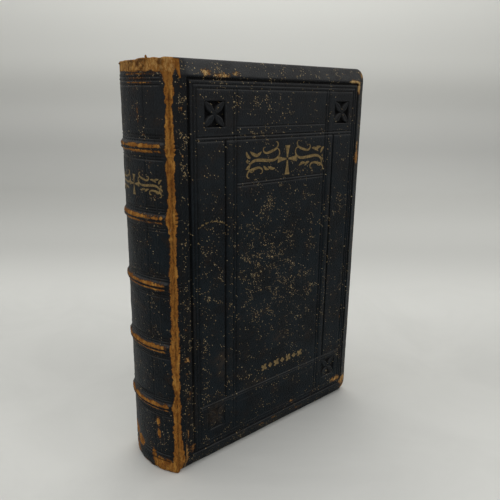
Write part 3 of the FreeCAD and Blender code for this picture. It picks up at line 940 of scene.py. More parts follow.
def cross(x, y, size):
    """A cross whose arms widen outwards."""
    shapes = []
    t = np.linspace(0, 1, 8)
    for k in range(4):
        reach = size * (0.56 if k == 3 else 0.46)
        heading = math.pi / 2 * k
        along = 0.05 * size + t * reach
        points = np.stack([x + along * math.cos(heading), y + along * math.sin(heading)], 1)
        shapes.append((points, size * (0.07 + 0.20 * t ** 1.7)))
    return shapes


def diamond(x, y, size):
    """An upright lozenge."""
    return [(np.array([[x - size / 2, y], [x, y], [x + size / 2, y]]), np.array([0.05, size, 0.05]))]


def quatrefoil(x, y, size):
    """Four leaves set crosswise."""
    headings = [math.pi / 2 * k + math.pi / 4 for k in range(4)]
    return [leaf_shape(x, y, heading, size * 0.55, size * 0.34) for heading in headings]


# Leaves on one side of the title ornament, as (across, height, heading, length).
TITLE_LEAVES = (
    (10, -5.2, 0.25, 6.0), (15, -5.6, 0.5, 5.0), (21, 5.0, -0.35, 6.5),
    (24, 3.4, 0.35, 6.0), (29.5, 1.5, 0.9, 5.0), (29.5, -1.5, -0.7, 4.6),
)


def title_ornament(x, y, size):
    """A cross between scrolls and leaves; size is its whole width."""
    unit = size / 66.0
    shapes = cross(x, y - 0.3 * unit, 15.5 * unit)
    for flip in (False, True):
        sign = -1 if flip else 1
        big = scroll("S", 23 * unit, 27.0, 1.9, 1.35 * unit)
        shapes.append(placed(big, x + sign * 19.5 * unit, y, 0.10, flip))
        small = scroll("C", 12 * unit, 20.0, 1.7, 1.0 * unit)
        shapes.append(placed(small, x + sign * 13.5 * unit, y + 4.7 * unit, -0.30, flip))
        shapes.append(placed(small, x + sign * 26.0 * unit, y - 4.4 * unit, 2.95, flip))
        for ox, oy, heading, long in TITLE_LEAVES:
            turn = math.pi - heading if flip else heading
            shapes.append(leaf_shape(x + sign * ox * unit, y + oy * unit, turn, long * unit, 1.6 * unit))
        shapes += diamond(x + sign * 31.6 * unit, y, 2.4 * unit)
    return shapes


GILT_LIFT = 0.10            # how far the gilding stands above the skin
GILT_ROOT = -0.35           # and how far it reaches into it


def gilt_piece(name, shapes, to_skin, body, side):
    """All strips of one ornament, as thin closed slips pressed into the skin."""
    points, faces, uv = [], [], []
    for line, widths in shapes:
        left, right = strip(line, widths)
        base = len(points)
        for a, b in zip(left, right):
            for (u, z), rise in ((a, GILT_LIFT), (b, GILT_LIFT), (b, GILT_ROOT), (a, GILT_ROOT)):
                points.append(to_skin(u, z, rise))
                uv.append((u, z))
        faces += bar_faces(base, len(line))
    if side == "front":
        faces = [f[::-1] for f in faces]
    made = mesh_object(name, points, faces, uv, smooth=False)
    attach(made, body)
    return made


def on_cover(u, z, rise):
    """A place on the front cover's tooled leather, lifted by rise."""
    high = float(cover_relief(np.array(u), np.array(z)) + old_leather(np.array(u), np.array(z)))
    return JOINT_X + u, -HALF - high - rise, z


def on_spine(u, z, rise):
    """A place on the spine's leather, lifted by rise."""
    x, y, nx, ny = (float(c) for c in skin_path(np.array(u)))
    high = float(spine_relief(np.array(u), np.array(z))) + rise
    return x + nx * high, y + ny * high, z


def ornament_row():
    """Quatrefoils and diamonds in turn."""
    shapes = []
    for k in range(7):
        place = (FRAME_CENTRE + 4.0 + (k - 3) * 5.5, 48.2)
        shapes += quatrefoil(*place, 5.0) if k % 2 == 0 else diamond(*place, 3.8)
    return shapes


def gold_flecks():
    """Flecks left of a gilt line that was once an arc."""
    shapes = []
    for k in range(26):
        t = k / 25
        chance = [float(hashed(np.array(k), np.array(j), 77)) for j in range(4)]
        u = 15.5 + 21.5 * t + 0.5 * (chance[0] - 0.5)
        z = 147.2 + 3.2 * math.sin(math.pi * t) ** 0.8 - 1.2 * t ** 3 + 0.5 * (chance[1] - 0.5)
        if chance[2] > 0.25:
            heading = 0.4 - t + chance[3]
            shapes.append(leaf_shape(u, z, heading, 0.5 + 0.9 * chance[3], 0.3 + 0.4 * chance[0]))
    return shapes


TITLE_AT = (FRAME_CENTRE + 3.2, 181.6)
SPINE_TITLE_AT = (-SPINE_LENGTH / 2, 172.0)
title_gilt = gilt_piece("title_ornament", title_ornament(*TITLE_AT, 66.0), on_cover, "front_cover", "front")
row_gilt = gilt_piece("lower_ornament", ornament_row(), on_cover, "front_cover", "front")
fleck_gilt = gilt_piece("gold_flecks", gold_flecks(), on_cover, "front_cover", "front")
spine_gilt = gilt_piece("spine_ornament", title_ornament(*SPINE_TITLE_AT, 41.0), on_spine, "root", "spine")


# ---------------------------------------------------------------------------
# Torn leather: a flap at the head of the front joint and one on the headcap
# ---------------------------------------------------------------------------
def flap(name, body, start, length, width, lean, lift, curl):
    """A pointed tongue of skin, curling away from the surface."""
    rows, columns = 12, 6
    t = np.linspace(0, 1, rows)[:, None]
    c = np.linspace(-0.5, 0.5, columns)[None, :]
    wide = width * (1 - t) ** 0.7 * (1 + 0.35 * (field(t * 9, c * 3, 1.3, 131) - 0.5)) + 0.25
    u = start[0] + c * wide + lean * t ** 1.2
    z = start[1] + length * t + 0.5 * (field(t * 7 + 3, c * 5, 1.1, 133) - 0.5)
    x, y, nx, ny = skin_path(u)
    rise = lift + curl * t ** 2 + 0.25 * (field(t * 8, c * 6 + 9, 1.0, 137) - 0.5)
    grid = np.stack([x + nx * rise, y + ny * rise, z + 0 * u], -1)
    flip = length < 0
    worn = np.ones(grid.shape[:2])
    made = shell(name, grid, np.full(grid.shape[:2], 0.45), np.stack([u, z + 0 * u], -1),
                 {"worn": worn, "rub": worn * 0.5, "painted_shade": worn * 0}, flip=flip)
    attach(made, body)
    return made


flaps = [
    flap("torn_flap_joint", "front_cover", start=(3.9, 234.2), length=-9.0,
         width=3.0, lean=1.9, lift=0.22, curl=0.7),
    flap("torn_flap_headcap", "root", start=(-12.5, 233.4), length=2.2,
         width=1.8, lean=0.8, lift=0.1, curl=0.6),
]


# ---------------------------------------------------------------------------
# Materials
# ---------------------------------------------------------------------------
def give(tree, socket, value):
    """Sets an input to a value, or links it to another node's output."""
    if isinstance(value, bpy.types.NodeSocket):
        tree.links.new(value, socket)
    else:
        socket.default_value = value


def add(tree, kind, inputs=None, **settings):
    """A node, its settings, and its inputs as values or as links from other nodes."""
    node = tree.nodes.new(kind)
    for key, value in settings.items():
        setattr(node, key, value)
    for key, value in (inputs or {}).items():
        give(tree, node.inputs[key], value)
    return node


def calc(tree, operation, a, b=0.0, c=0.0, clamp=False):
    """One step of arithmetic."""
    return add(tree, "ShaderNodeMath", {0: a, 1: b, 2: c}, operation=operation, use_clamp=clamp).outputs[0]


def times(tree, a, b):
    """One value multiplied by another."""
    return calc(tree, "MULTIPLY", a, b)


def blend_colour(tree, factor, a, b, kind="MIX"):
    """Colour a, giving way to colour b by the factor."""
    node = add(tree, "ShaderNodeMix", {0: factor, 6: a, 7: b}, data_type="RGBA", blend_type=kind)
    return node.outputs[2]


def smooth_range(tree, value, low, high, out_low=0.0, out_high=1.0):
    """The value's range from low to high, spread smoothly from out_low to out_high."""
    inputs = {"Value": value, "From Min": low, "From Max": high, "To Min": out_low, "To Max": out_high}
    return add(tree, "ShaderNodeMapRange", inputs, interpolation_type="SMOOTHSTEP", clamp=True).outputs[0]


def noise_of(tree, vector, scale, detail=3.0, rough=0.55, distortion=0.0):
    """Cloudy noise from 0 to 1."""
    inputs = {"Vector": vector, "Scale": scale, "Detail": detail, "Roughness": rough,
              "Distortion": distortion}
    return add(tree, "ShaderNodeTexNoise", inputs).outputs[0]


def patchy(tree, vector, noise, low, high, out_low=0.0, out_high=1.0):
    """Soft-edged patches; noise is its (scale, detail, roughness)."""
    return smooth_range(tree, noise_of(tree, vector, *noise), low, high, out_low, out_high)


def stretched(tree, vector, scale, turn=0.0):
    """Coordinates turned and then scaled, so that a pattern lies along a slant."""
    inputs = {"Vector": vector, "Scale": scale, "Rotation": (0, 0, turn)}
    return add(tree, "ShaderNodeMapping", inputs).outputs[0]


def turned(tree, vector, turn):
    """Coordinates turned about the surface."""
    return stretched(tree, vector, (1.0, 1.0, 1.0), turn)


def parts_of(tree, vector):
    """The three parts of a vector."""
    return add(tree, "ShaderNodeSeparateXYZ", {0: vector}).outputs


def colour_parts(tree, colour):
    """The three parts of a colour."""
    return add(tree, "ShaderNodeSeparateColor", {"Color": colour}).outputs


def cells_of(tree, vector, scale, randomness):
    """Cells over the surface, each with a distance from its middle and a colour of its own."""
    inputs = {"Vector": vector, "Scale": scale, "Randomness": randomness}
    return add(tree, "ShaderNodeTexVoronoi", inputs, voronoi_dimensions="2D", feature="F1").outputs


def facing(tree):
    """The surface's direction, as three parts."""
    return parts_of(tree, add(tree, "ShaderNodeNewGeometry").outputs["Normal"])


def group(name, inputs, outputs):
    """A new shader node group; returns its tree, its inputs to read and its outputs to feed."""
    tree = bpy.data.node_groups.new(name, "ShaderNodeTree")
    for key, kind in inputs:
        tree.interface.new_socket(key, in_out="INPUT", socket_type=kind)
    for key, kind in outputs:
        tree.interface.new_socket(key, in_out="OUTPUT", socket_type=kind)
    source = tree.nodes.new("NodeGroupInput")
    sink = tree.nodes.new("NodeGroupOutput")
    return tree, source.outputs, sink.inputs


def use(tree, made, **inputs):
    """Places a node group and returns its outputs."""
    node = tree.nodes.new("ShaderNodeGroup")
    node.node_tree = made
    for key, value in inputs.items():
        give(tree, node.inputs[key.replace("_", " ")], value)
    return node.outputs


VALUE, VECTOR = "NodeSocketFloat", "NodeSocketVector"


def grain_group():
    """Pebbled goatskin: height, the crown of each pebble, and a random number for each."""
    tree, given, result = group("leather_grain", [("Skin", VECTOR), ("Scale", VALUE)],
                                [("Height", VALUE), ("Crown", VALUE), ("Lot", VALUE)])
    lean = stretched(tree, given["Skin"], (1.0, 0.72, 1.0), 0.6)
    drift = add(tree, "ShaderNodeTexNoise", {"Vector": lean, "Scale": 0.9, "Detail": 2.0}).outputs["Color"]
    reach = (0.9, 0.9, 0.0)
    moved = add(tree, "ShaderNodeVectorMath", {0: drift, 1: reach}, operation="MULTIPLY").outputs[0]
    place = add(tree, "ShaderNodeVectorMath", {0: lean, 1: moved}, operation="ADD").outputs[0]
    cells = cells_of(tree, place, given["Scale"], 1.0)
    crown = calc(tree, "SUBTRACT", 1.0, times(tree, cells["Distance"], 1.35), clamp=True)
    fine = noise_of(tree, given["Skin"], 3.2, 3.0, 0.65)
    height = calc(tree, "ADD", calc(tree, "POWER", crown, 0.7), times(tree, fine, 0.55))
    lot = colour_parts(tree, cells["Color"])[0]
    tree.links.new(height, result["Height"])
    tree.links.new(crown, result["Crown"])
    tree.links.new(lot, result["Lot"])
    return tree


# Layers of specks, as (cells per mm, greatest share of cells bare, slant, slimness).
SPECK_LAYERS = ((2.05, 0.47, 0.75, 0.62), (1.25, 0.075, 1.0, 0.8))


def specks_group():
    """Bare crowns of the grain: dots and short streaks, thicker where the skin is rubbed."""
    tree, given, result = group("rubbed_specks", [("Skin", VECTOR), ("Rub", VALUE)],
                                [("Specks", VALUE), ("Scuffs", VALUE), ("Pale", VALUE)])
    leaning = turned(tree, given["Skin"], 0.75)
    streak = noise_of(tree, stretched(tree, leaning, (0.08, 0.26, 1.0)), 1.0, 4.0, 0.6)
    leaning = turned(tree, given["Skin"], -0.5)
    cross_streak = noise_of(tree, stretched(tree, leaning, (0.12, 0.22, 1.0)), 1.0, 4.0, 0.6)
    patch = noise_of(tree, given["Skin"], 0.11, 4.0, 0.65)
    both = calc(tree, "MAXIMUM", smooth_range(tree, streak, 0.47, 0.62),
                smooth_range(tree, cross_streak, 0.49, 0.64))
    density = times(tree, given["Rub"], both)
    density = times(tree, density, smooth_range(tree, patch, 0.42, 0.58, 0.10, 1.0))
    density = calc(tree, "ADD", density, times(tree, given["Rub"], 0.018))
    total, pale = None, None
    for scale, share, slant, slim in SPECK_LAYERS:
        place = stretched(tree, turned(tree, given["Skin"], slant), (slim, 1.0, 1.0))
        cells = cells_of(tree, place, scale, 0.7)
        lots = colour_parts(tree, cells["Color"])
        chosen = calc(tree, "LESS_THAN", lots[0], times(tree, density, share))
        size = calc(tree, "ADD", 0.26, times(tree, lots[1], 0.16))
        edge = calc(tree, "SUBTRACT", size, cells["Distance"])
        dots = times(tree, chosen, smooth_range(tree, edge, -0.05, 0.05))
        total = dots if total is None else calc(tree, "MAXIMUM", total, dots)
        pale = lots[2] if pale is None else pale
    broad = noise_of(tree, stretched(tree, given["Skin"], (0.62, 0.42, 1.0), 0.75), 1.0, 5.0, 0.7)
    scuffs = times(tree, smooth_range(tree, broad, 0.60, 0.70), smooth_range(tree, density, 0.2, 0.6))
    tree.links.new(total, result["Specks"])
    tree.links.new(scuffs, result["Scuffs"])
    tree.links.new(pale, result["Pale"])
    return tree


def ragged_group():
    """Turns a soft painted mask into a patch with a torn, nibbled edge."""
    tree, given, result = group("ragged_edge", [("Skin", VECTOR), ("Mask", VALUE), ("Rag", VALUE)],
                                [("Patch", VALUE), ("Fringe", VALUE)])
    torn = noise_of(tree, given["Skin"], 0.62, 6.0, 0.74)
    wobble = times(tree, calc(tree, "SUBTRACT", torn, 0.5), given["Rag"])
    level = calc(tree, "ADD", given["Mask"], wobble)
    tree.links.new(smooth_range(tree, level, 0.48, 0.56), result["Patch"])
    tree.links.new(smooth_range(tree, level, 0.25, 0.50), result["Fringe"])
    return tree


# Scratches, as (slant, scale along and across).
SCRATCH_RUNS = ((0.55, (0.035, 2.2, 1.0)), (-0.35, (0.03, 1.9, 1.0)), (1.35, (0.04, 2.6, 1.0)))


def scratches_group():
    """Fine straight scratches in three directions."""
    tree, given, result = group("fine_scratches", [("Skin", VECTOR)], [("Scratch", VALUE)])
    total = None
    for turn, scale in SCRATCH_RUNS:
        line = noise_of(tree, stretched(tree, given["Skin"], scale, turn), 1.0, 2.0, 0.5)
        sharp = smooth_range(tree, line, 0.70, 0.74)
        total = sharp if total is None else calc(tree, "MAXIMUM", total, sharp)
    tree.links.new(total, result["Scratch"])
    return tree


GRAIN = grain_group()
SPECKS = specks_group()
RAGGED = ragged_group()
SCRATCHES = scratches_group()


def new_material(name, **plain):
    """A material with one Principled shader; plain values are set on the shader itself."""
    material = bpy.data.materials.new(name)
    material.use_nodes = True
    tree = material.node_tree
    tree.nodes.clear()
    shader = tree.nodes.new("ShaderNodeBsdfPrincipled")
    output = tree.nodes.new("ShaderNodeOutputMaterial")
    tree.links.new(shader.outputs[0], output.inputs[0])
    for key, value in plain.items():
        shader.inputs[key.replace("_", " ")].default_value = value
    return material, tree, shader


def painted(tree, key):
    """A mask painted on the mesh."""
    return add(tree, "ShaderNodeAttribute", attribute_name=key).outputs["Fac"]


def skin_coordinates(tree):
    """Millimetres along the skin."""
    return add(tree, "ShaderNodeUVMap", uv_map="skin").outputs[0]


def feed(tree, shader, **links):
    """Links sockets to the shader's inputs."""
    for key, socket in links.items():
        tree.links.new(socket, shader.inputs[key.replace("_", " ")])


def bumped(tree, height, strength, distance):
    """A normal from a height, at this many metres for a height of one."""
    inputs = {"Height": height, "Strength": strength, "Distance": distance}
    return add(tree, "ShaderNodeBump", inputs).outputs[0]


# The skin's own tones, with tones painted for shade in its lines and crease and for light toward its head
# and on its top.
BLACK = (0.0040, 0.0050, 0.0062, 1)
BLUE_BLACK = (0.0058, 0.0102, 0.0138, 1)
BROWN_BLACK = (0.017, 0.0105, 0.007, 1)
CROWN = (0.0104, 0.0160, 0.0206, 1)
PAINTED_HEAD_HIGHLIGHT = (0.042, 0.040, 0.041, 1)
PAINTED_LINE_SHADE = (0.0015, 0.0015, 0.002, 1)
DUST_AND_TOP_LIGHT = (0.062, 0.062, 0.062, 1)
STAIN_AND_SHADE = (0.045, 0.031, 0.020, 1)
SCRATCH_GREY = (0.10, 0.09, 0.075, 1)
# The tones of bare specks, and of skin worn through to its fibres, with painted shade for its ruled lines
# and crease.
BARE_TAN = (0.40, 0.27, 0.12, 1)
BARE_PALE = (0.60, 0.49, 0.29, 1)
SUEDE_TAN = (0.31, 0.130, 0.023, 1)
SUEDE_LIGHT = (0.52, 0.262, 0.058, 1)
SUEDE_PALE = (0.48, 0.28, 0.095, 1)
SUEDE_DARK = (0.14, 0.045, 0.010, 1)
COVER_TAN = (0.36, 0.19, 0.060, 1)
COVER_LIGHT = (0.62, 0.39, 0.150, 1)
COVER_PALE = (0.62, 0.45, 0.210, 1)
RUBBED_RED = (0.20, 0.10, 0.045, 1)
RULED_SHADE = (0.030, 0.014, 0.007, 1)
FRINGE_DARK = (0.045, 0.018, 0.007, 1)
FLECK_DARK = (0.055, 0.020, 0.007, 1)
SOILED_AND_SHADED = (0.060, 0.024, 0.008, 1)


def unworn_skin(tree, skin, crown, cloud, brownness):
    """Blue-black skin: browner in clouds and paler on its crowns, with a painted highlight toward the head,
    and dust with painted top light on upward faces.
    """
    dark = blend_colour(tree, smooth_range(tree, cloud, 0.35, 0.65), BLACK, BLUE_BLACK)
    brown = patchy(tree, skin, (0.11, 4.0, 0.6), 0.5, 0.72, 0.0, brownness)
    dark = blend_colour(tree, brown, dark, BROWN_BLACK)
    dark = blend_colour(tree, times(tree, smooth_range(tree, crown, 0.3, 0.8), 0.55), dark, CROWN)
    # Painted highlight: the skin is painted paler toward the head, where more light and the wall's
    # reflection fall.
    highlight_toward_head = smooth_range(tree, parts_of(tree, skin)[1], 125.0, 235.0, 0.0, 0.32)
    dark = blend_colour(tree, highlight_toward_head, dark, PAINTED_HEAD_HIGHLIGHT)
    # Dust and painted light: upward faces are painted paler, partly dust and partly painted light falling
    # from above.
    upward = smooth_range(tree, facing(tree)[2], 0.12, 0.42)
    dust = times(tree, upward, smooth_range(tree, cloud, 0.25, 0.6, 0.5, 1.0))
    return blend_colour(tree, times(tree, dust, 0.75), dark, DUST_AND_TOP_LIGHT)


def bare_suede(tree, skin, painted_shade, mottle, calm, tones):
    """Skin worn through to its fibres: mottled, cracked, and painted dark with shade where a line was
    pressed.

    Where calm is 1 it is even and faded; tones are (tan, light, faded)."""
    tan, light, faded = tones
    drift = noise_of(tree, stretched(tree, skin, (0.30, 0.11, 1.0)), 1.0, 3.0, 0.6)
    body = calc(tree, "MAXIMUM", smooth_range(tree, mottle, 0.34, 0.58), times(tree, calm, 0.72))
    suede = blend_colour(tree, body, SUEDE_DARK, tan)
    suede = blend_colour(tree, smooth_range(tree, drift, 0.48, 0.66, 0.0, 0.7), suede, light)
    shade = patchy(tree, stretched(tree, skin, (0.12, 0.055, 1.0)), (1.0, 3.0, 0.6), 0.52, 0.66)
    suede = blend_colour(tree, times(tree, shade, 0.65), suede, SUEDE_DARK)
    pale = times(tree, calm, smooth_range(tree, mottle, 0.42, 0.60, 0.0, 0.8))
    suede = blend_colour(tree, pale, suede, faded)
    suede = blend_colour(tree, smooth_range(tree, painted_shade, 0.45, 0.8, 0.0, 0.85), suede, RULED_SHADE)
    flecks = patchy(tree, skin, (1.1, 4.0, 0.65), 0.57, 0.66)
    crack = patchy(tree, stretched(tree, skin, (0.25, 1.7, 1.0), 0.1), (1.0, 3.0, 0.6), 0.64, 0.70)
    flecks = calc(tree, "MAXIMUM", flecks, crack)
    flecks = times(tree, flecks, calc(tree, "SUBTRACT", 1.0, times(tree, calm, 0.55)))
    return blend_colour(tree, times(tree, flecks, 0.8), suede, FLECK_DARK)


def aged_leather(name, gloss, rag, brownness, tones, speck):
    """Blue-black goatskin, rubbed to specks on its grain and worn through to suede."""
    material, tree, shader = new_material(name, IOR=1.48, Specular_IOR_Level=0.09)
    skin = skin_coordinates(tree)
    worn, rub, painted_shade, stain_and_shade = (painted(tree, key) for key in ("worn", "rub", "painted_shade", "stain_and_shade"))
    grain = use(tree, GRAIN, Skin=skin, Scale=1.15)
    specks = use(tree, SPECKS, Skin=skin, Rub=rub)
    patch = use(tree, RAGGED, Skin=skin, Mask=worn, Rag=rag)
    scratch = use(tree, SCRATCHES, Skin=skin)["Scratch"]

    cloud = noise_of(tree, skin, 0.05, 4.0, 0.6)
    dark = unworn_skin(tree, skin, grain["Crown"], cloud, brownness)
    # Real stains, and painted shade in the joint crease, darken the skin.
    stained_and_shaded = times(tree, stain_and_shade, patchy(tree, skin, (0.35, 4.0, 0.65), 0.35, 0.6))
    dark = blend_colour(tree, times(tree, stained_and_shaded, 0.8), dark, STAIN_AND_SHADE)
    # Painted shade: pressed lines and the margin by the joint painted near black.
    dark = blend_colour(tree, times(tree, painted_shade, 0.9), dark, PAINTED_LINE_SHADE)

    bare = blend_colour(tree, patchy(tree, skin, (0.7, 2.0, 0.5), 0.4, 0.62), speck, BARE_PALE)
    strength = calc(tree, "ADD", 0.42, times(tree, specks["Pale"], 0.75), clamp=True)
    lifted = times(tree, specks["Specks"], strength)
    colour = blend_colour(tree, lifted, dark, bare)
    colour = blend_colour(tree, times(tree, specks["Scuffs"], 0.20), colour, speck)
    colour = blend_colour(tree, times(tree, scratch, 0.22), colour, SCRATCH_GREY)
    colour = blend_colour(tree, times(tree, patch["Fringe"], 0.65), colour, FRINGE_DARK)

    mottle = noise_of(tree, stretched(tree, skin, (1.0, 0.45, 1.0)), 0.8, 5.0, 0.7)
    calm = smooth_range(tree, rub, 0.86, 0.98)
    suede = bare_suede(tree, skin, painted_shade, mottle, calm, tones)
    colour = blend_colour(tree, patch["Patch"], colour, suede)
    # Worn patches under stains or painted crease shade are darkened further.
    soiled_and_shaded = times(tree, times(tree, stained_and_shaded, patch["Patch"]), 0.85)
    colour = blend_colour(tree, soiled_and_shaded, colour, SOILED_AND_SHADED)

    rough_dark = calc(tree, "ADD", gloss, times(tree, noise_of(tree, skin, 0.4, 3.0), 0.18))
    rough_dark = calc(tree, "SUBTRACT", rough_dark, times(tree, painted_shade, 0.08))
    rough_bare = calc(tree, "MAXIMUM", times(tree, lifted, 0.9), patch["Patch"])
    roughness = calc(tree, "ADD", rough_dark, times(tree, rough_bare, 0.32), clamp=True)

    unworn = calc(tree, "SUBTRACT", 1.0, patch["Patch"])
    fuzz = times(tree, times(tree, mottle, patch["Patch"]), 2.2)
    height = calc(tree, "ADD", times(tree, grain["Height"], unworn), fuzz)
    height = calc(tree, "SUBTRACT", height, times(tree, patch["Patch"], 1.2))
    feed(tree, shader, Base_Color=colour, Roughness=roughness, Normal=bumped(tree, height, 0.8, 0.00022))
    return material


COVER_TONES = (COVER_TAN, COVER_LIGHT, COVER_PALE)
SPINE_TONES = (SUEDE_TAN, SUEDE_LIGHT, SUEDE_PALE)
LEATHER_COVER = aged_leather("aged_cover_leather", 0.42, 1.9, 0.6, COVER_TONES, BARE_TAN)
LEATHER_SPINE = aged_leather("aged_spine_leather", 0.36, 1.25, 1.0, SPINE_TONES, RUBBED_RED)
for obj in (spine_leather, joints["front"], joints["back"]):
    obj.data.materials.append(LEATHER_SPINE)
for side in ("front", "back"):
    cover_pieces[side][0].data.materials.append(LEATHER_COVER)


GILT_DARK = (0.13, 0.085, 0.028, 1)
GILT_LIGHT = (0.28, 0.190, 0.070, 1)
GILT_LOST = (0.02, 0.018, 0.014, 1)


def gilt_material():
    """Old gold leaf: dull, cracked and rubbed away in places."""
    material, tree, shader = new_material("old_gilt", Metallic=0.35)
    skin = skin_coordinates(tree)
    tone = noise_of(tree, skin, 0.5, 4.0, 0.6)
    gold = blend_colour(tree, smooth_range(tree, tone, 0.35, 0.65), GILT_DARK, GILT_LIGHT)
    lost = patchy(tree, skin, (1.3, 4.0, 0.7), 0.55, 0.66, 0.0, 0.85)
    colour = blend_colour(tree, lost, gold, GILT_LOST)
    rough = calc(tree, "ADD", 0.42, times(tree, tone, 0.25))
    feed(tree, shader, Base_Color=colour, Roughness=rough,
         Normal=bumped(tree, noise_of(tree, skin, 2.4, 3.0), 0.4, 0.0001))
    return material


GILT = gilt_material()
for obj in (title_gilt, row_gilt, fleck_gilt, spine_gilt):
    obj.data.materials.append(GILT)
for obj in flaps:
    obj.data.materials.append(LEATHER_SPINE)


def object_place(tree):
    """Metres in the piece's own frame."""
    return add(tree, "ShaderNodeTexCoord").outputs["Object"]


FOXING = (0.33, 0.19, 0.08, 1)
YELLOWED = (0.34, 0.25, 0.13, 1)
EDGE_DARK = (0.15, 0.10, 0.045, 1)
EDGE_LIGHT = (0.36, 0.26, 0.12, 1)


def paper_material(name, light, dark, rough=0.75, gilt_edges=False):
    """Aged paper with faint foxing and fibres; its cut edges may keep old dulled gilding."""
    material, tree, shader = new_material(name)
    place = object_place(tree)
    cloud = noise_of(tree, place, 18.0, 4.0, 0.6)
    colour = blend_colour(tree, smooth_range(tree, cloud, 0.35, 0.7), light, dark)
    fox = patchy(tree, place, (90.0, 3.0, 0.6), 0.66, 0.74, 0.0, 0.5)
    colour = blend_colour(tree, fox, colour, FOXING)
    fibre = noise_of(tree, place, 1400.0, 2.0, 0.6)
    rough_map = calc(tree, "ADD", rough, times(tree, fibre, 0.12), clamp=True)
    if gilt_edges:
        lot = painted(tree, "lot")
        colour = blend_colour(tree, times(tree, lot, 0.45), colour, YELLOWED)
        flat_side = calc(tree, "ABSOLUTE", facing(tree)[1])
        cut = smooth_range(tree, flat_side, 0.75, 0.55)
        streak = patchy(tree, stretched(tree, place, (60.0, 900.0, 25.0)), (1.0, 4.0, 0.6), 0.35, 0.65)
        gold = blend_colour(tree, streak, EDGE_DARK, EDGE_LIGHT)
        kept = times(tree, cut, smooth_range(tree, cloud, 0.30, 0.62, 0.95, 0.45))
        colour = blend_colour(tree, kept, colour, gold)
        feed(tree, shader, Metallic=times(tree, kept, 0.35))
        rough_map = calc(tree, "SUBTRACT", rough_map, times(tree, kept, 0.3))
    feed(tree, shader, Base_Color=colour, Roughness=rough_map, Normal=bumped(tree, fibre, 0.25, 0.00005))
    return material


def woven_material(name, light, dark, scale, turn=0.0):
    """Coarse threads crossing each other."""
    material, tree, shader = new_material(name, Roughness=0.9)
    place = stretched(tree, object_place(tree), (scale, scale, scale), turn)
    inputs = {"Vector": place, "Scale": 1.0, "Distortion": 0.6, "Detail": 2.0}
    across, upright = (add(tree, "ShaderNodeTexWave", inputs, bands_direction=way).outputs["Fac"]
                       for way in ("Y", "Z"))
    weave = calc(tree, "MAXIMUM", across, upright)
    colour = blend_colour(tree, weave, dark, light)
    feed(tree, shader, Base_Color=colour, Normal=bumped(tree, weave, 0.6, 0.0002))
    return material


SILK_CREAM = (0.44, 0.34, 0.20, 1)
SILK_RED = (0.20, 0.035, 0.025, 1)
SILK_DUST = (0.16, 0.12, 0.08, 1)


def silk_material():
    """Faded two-colour silk windings."""
    material, tree, shader = new_material("faded_silk", Roughness=0.55)
    along = parts_of(tree, skin_coordinates(tree))[0]
    turn = calc(tree, "FRACT", times(tree, along, 0.25))
    second = smooth_range(tree, turn, 0.49, 0.51)
    colour = blend_colour(tree, second, SILK_CREAM, SILK_RED)
    dust = patchy(tree, object_place(tree), (260.0, 4.0), 0.45, 0.7, 0.0, 0.6)
    colour = blend_colour(tree, dust, colour, SILK_DUST)
    feed(tree, shader, Base_Color=colour)
    return material


# Paper, board and thread, each with its light and dark tone.
PAGE = paper_material("bible_paper", (0.70, 0.62, 0.45, 1), (0.58, 0.48, 0.31, 1), gilt_edges=True)
LEAF = paper_material("leaf_paper", (0.72, 0.64, 0.47, 1), (0.60, 0.50, 0.33, 1))
ENDPAPER = paper_material("end_paper", (0.55, 0.46, 0.31, 1), (0.44, 0.34, 0.21, 1))
LINING = paper_material("lining_paper", (0.40, 0.32, 0.20, 1), (0.30, 0.22, 0.13, 1), 0.85)
BOARD = paper_material("mill_board", (0.30, 0.24, 0.16, 1), (0.22, 0.17, 0.11, 1), 0.88)
MULL = woven_material("mull", (0.52, 0.45, 0.32, 1), (0.25, 0.19, 0.12, 1), 900.0)
HEMP = woven_material("hemp_cord", (0.48, 0.37, 0.22, 1), (0.24, 0.16, 0.08, 1), 700.0, 0.6)
THREAD = woven_material("linen_thread", (0.66, 0.60, 0.47, 1), (0.42, 0.36, 0.26, 1), 1500.0, 0.5)
SILK = silk_material()
# The inside pieces, by the start of their names.
INSIDE = {
    "sewing_thread": THREAD, "sewing_cord": HEMP, "raised_band": BOARD, "spine_mull": MULL,
    "spine_lining_paper": LINING, "spine_hollow_tube": LINING, "headband_core": HEMP, "tailband_core": HEMP,
    "front_pastedown": ENDPAPER, "back_pastedown": ENDPAPER,
}
for side in ("front", "back"):
    cover_pieces[side][1].data.materials.append(BOARD)
for obj in gatherings:
    obj.data.materials.append(PAGE)
for node, obj in free_leaves.items():
    obj.data.materials.append(ENDPAPER if "flyleaf" in node else LEAF)
for obj in endbands:
    obj.data.materials.append(SILK)
for node, obj in frame["nodes"].items():
    obj.data.materials.clear()
    kind = next((key for key in INSIDE if node.startswith(key)), None)
    obj.data.materials.append(INSIDE[kind] if kind else PAGE)


# ---------------------------------------------------------------------------
# Studio: a pale sweep, soft light and the camera
# ---------------------------------------------------------------------------
CAMERA_PLACE = Vector((JOINT_X - 150.4, -HALF - 232.7, 216.9)) * MM
CAMERA_AZIMUTH, CAMERA_PITCH, CAMERA_ROLL = (math.radians(a) for a in (-41.2, 15.79, 0.72))
VIEW_FLAT = Vector((-math.sin(CAMERA_AZIMUTH), math.cos(CAMERA_AZIMUTH), 0))
SWEEP_START = 1.25          # metres from below the camera to the foot of the sweep
SWEEP_RADIUS = 0.25
SWEEP_HALF = 7.0            # half its width, and how far it runs behind the camera
SWEEP_TOP = 2.4
FLOOR_COLOUR = (0.60, 0.60, 0.57, 1)
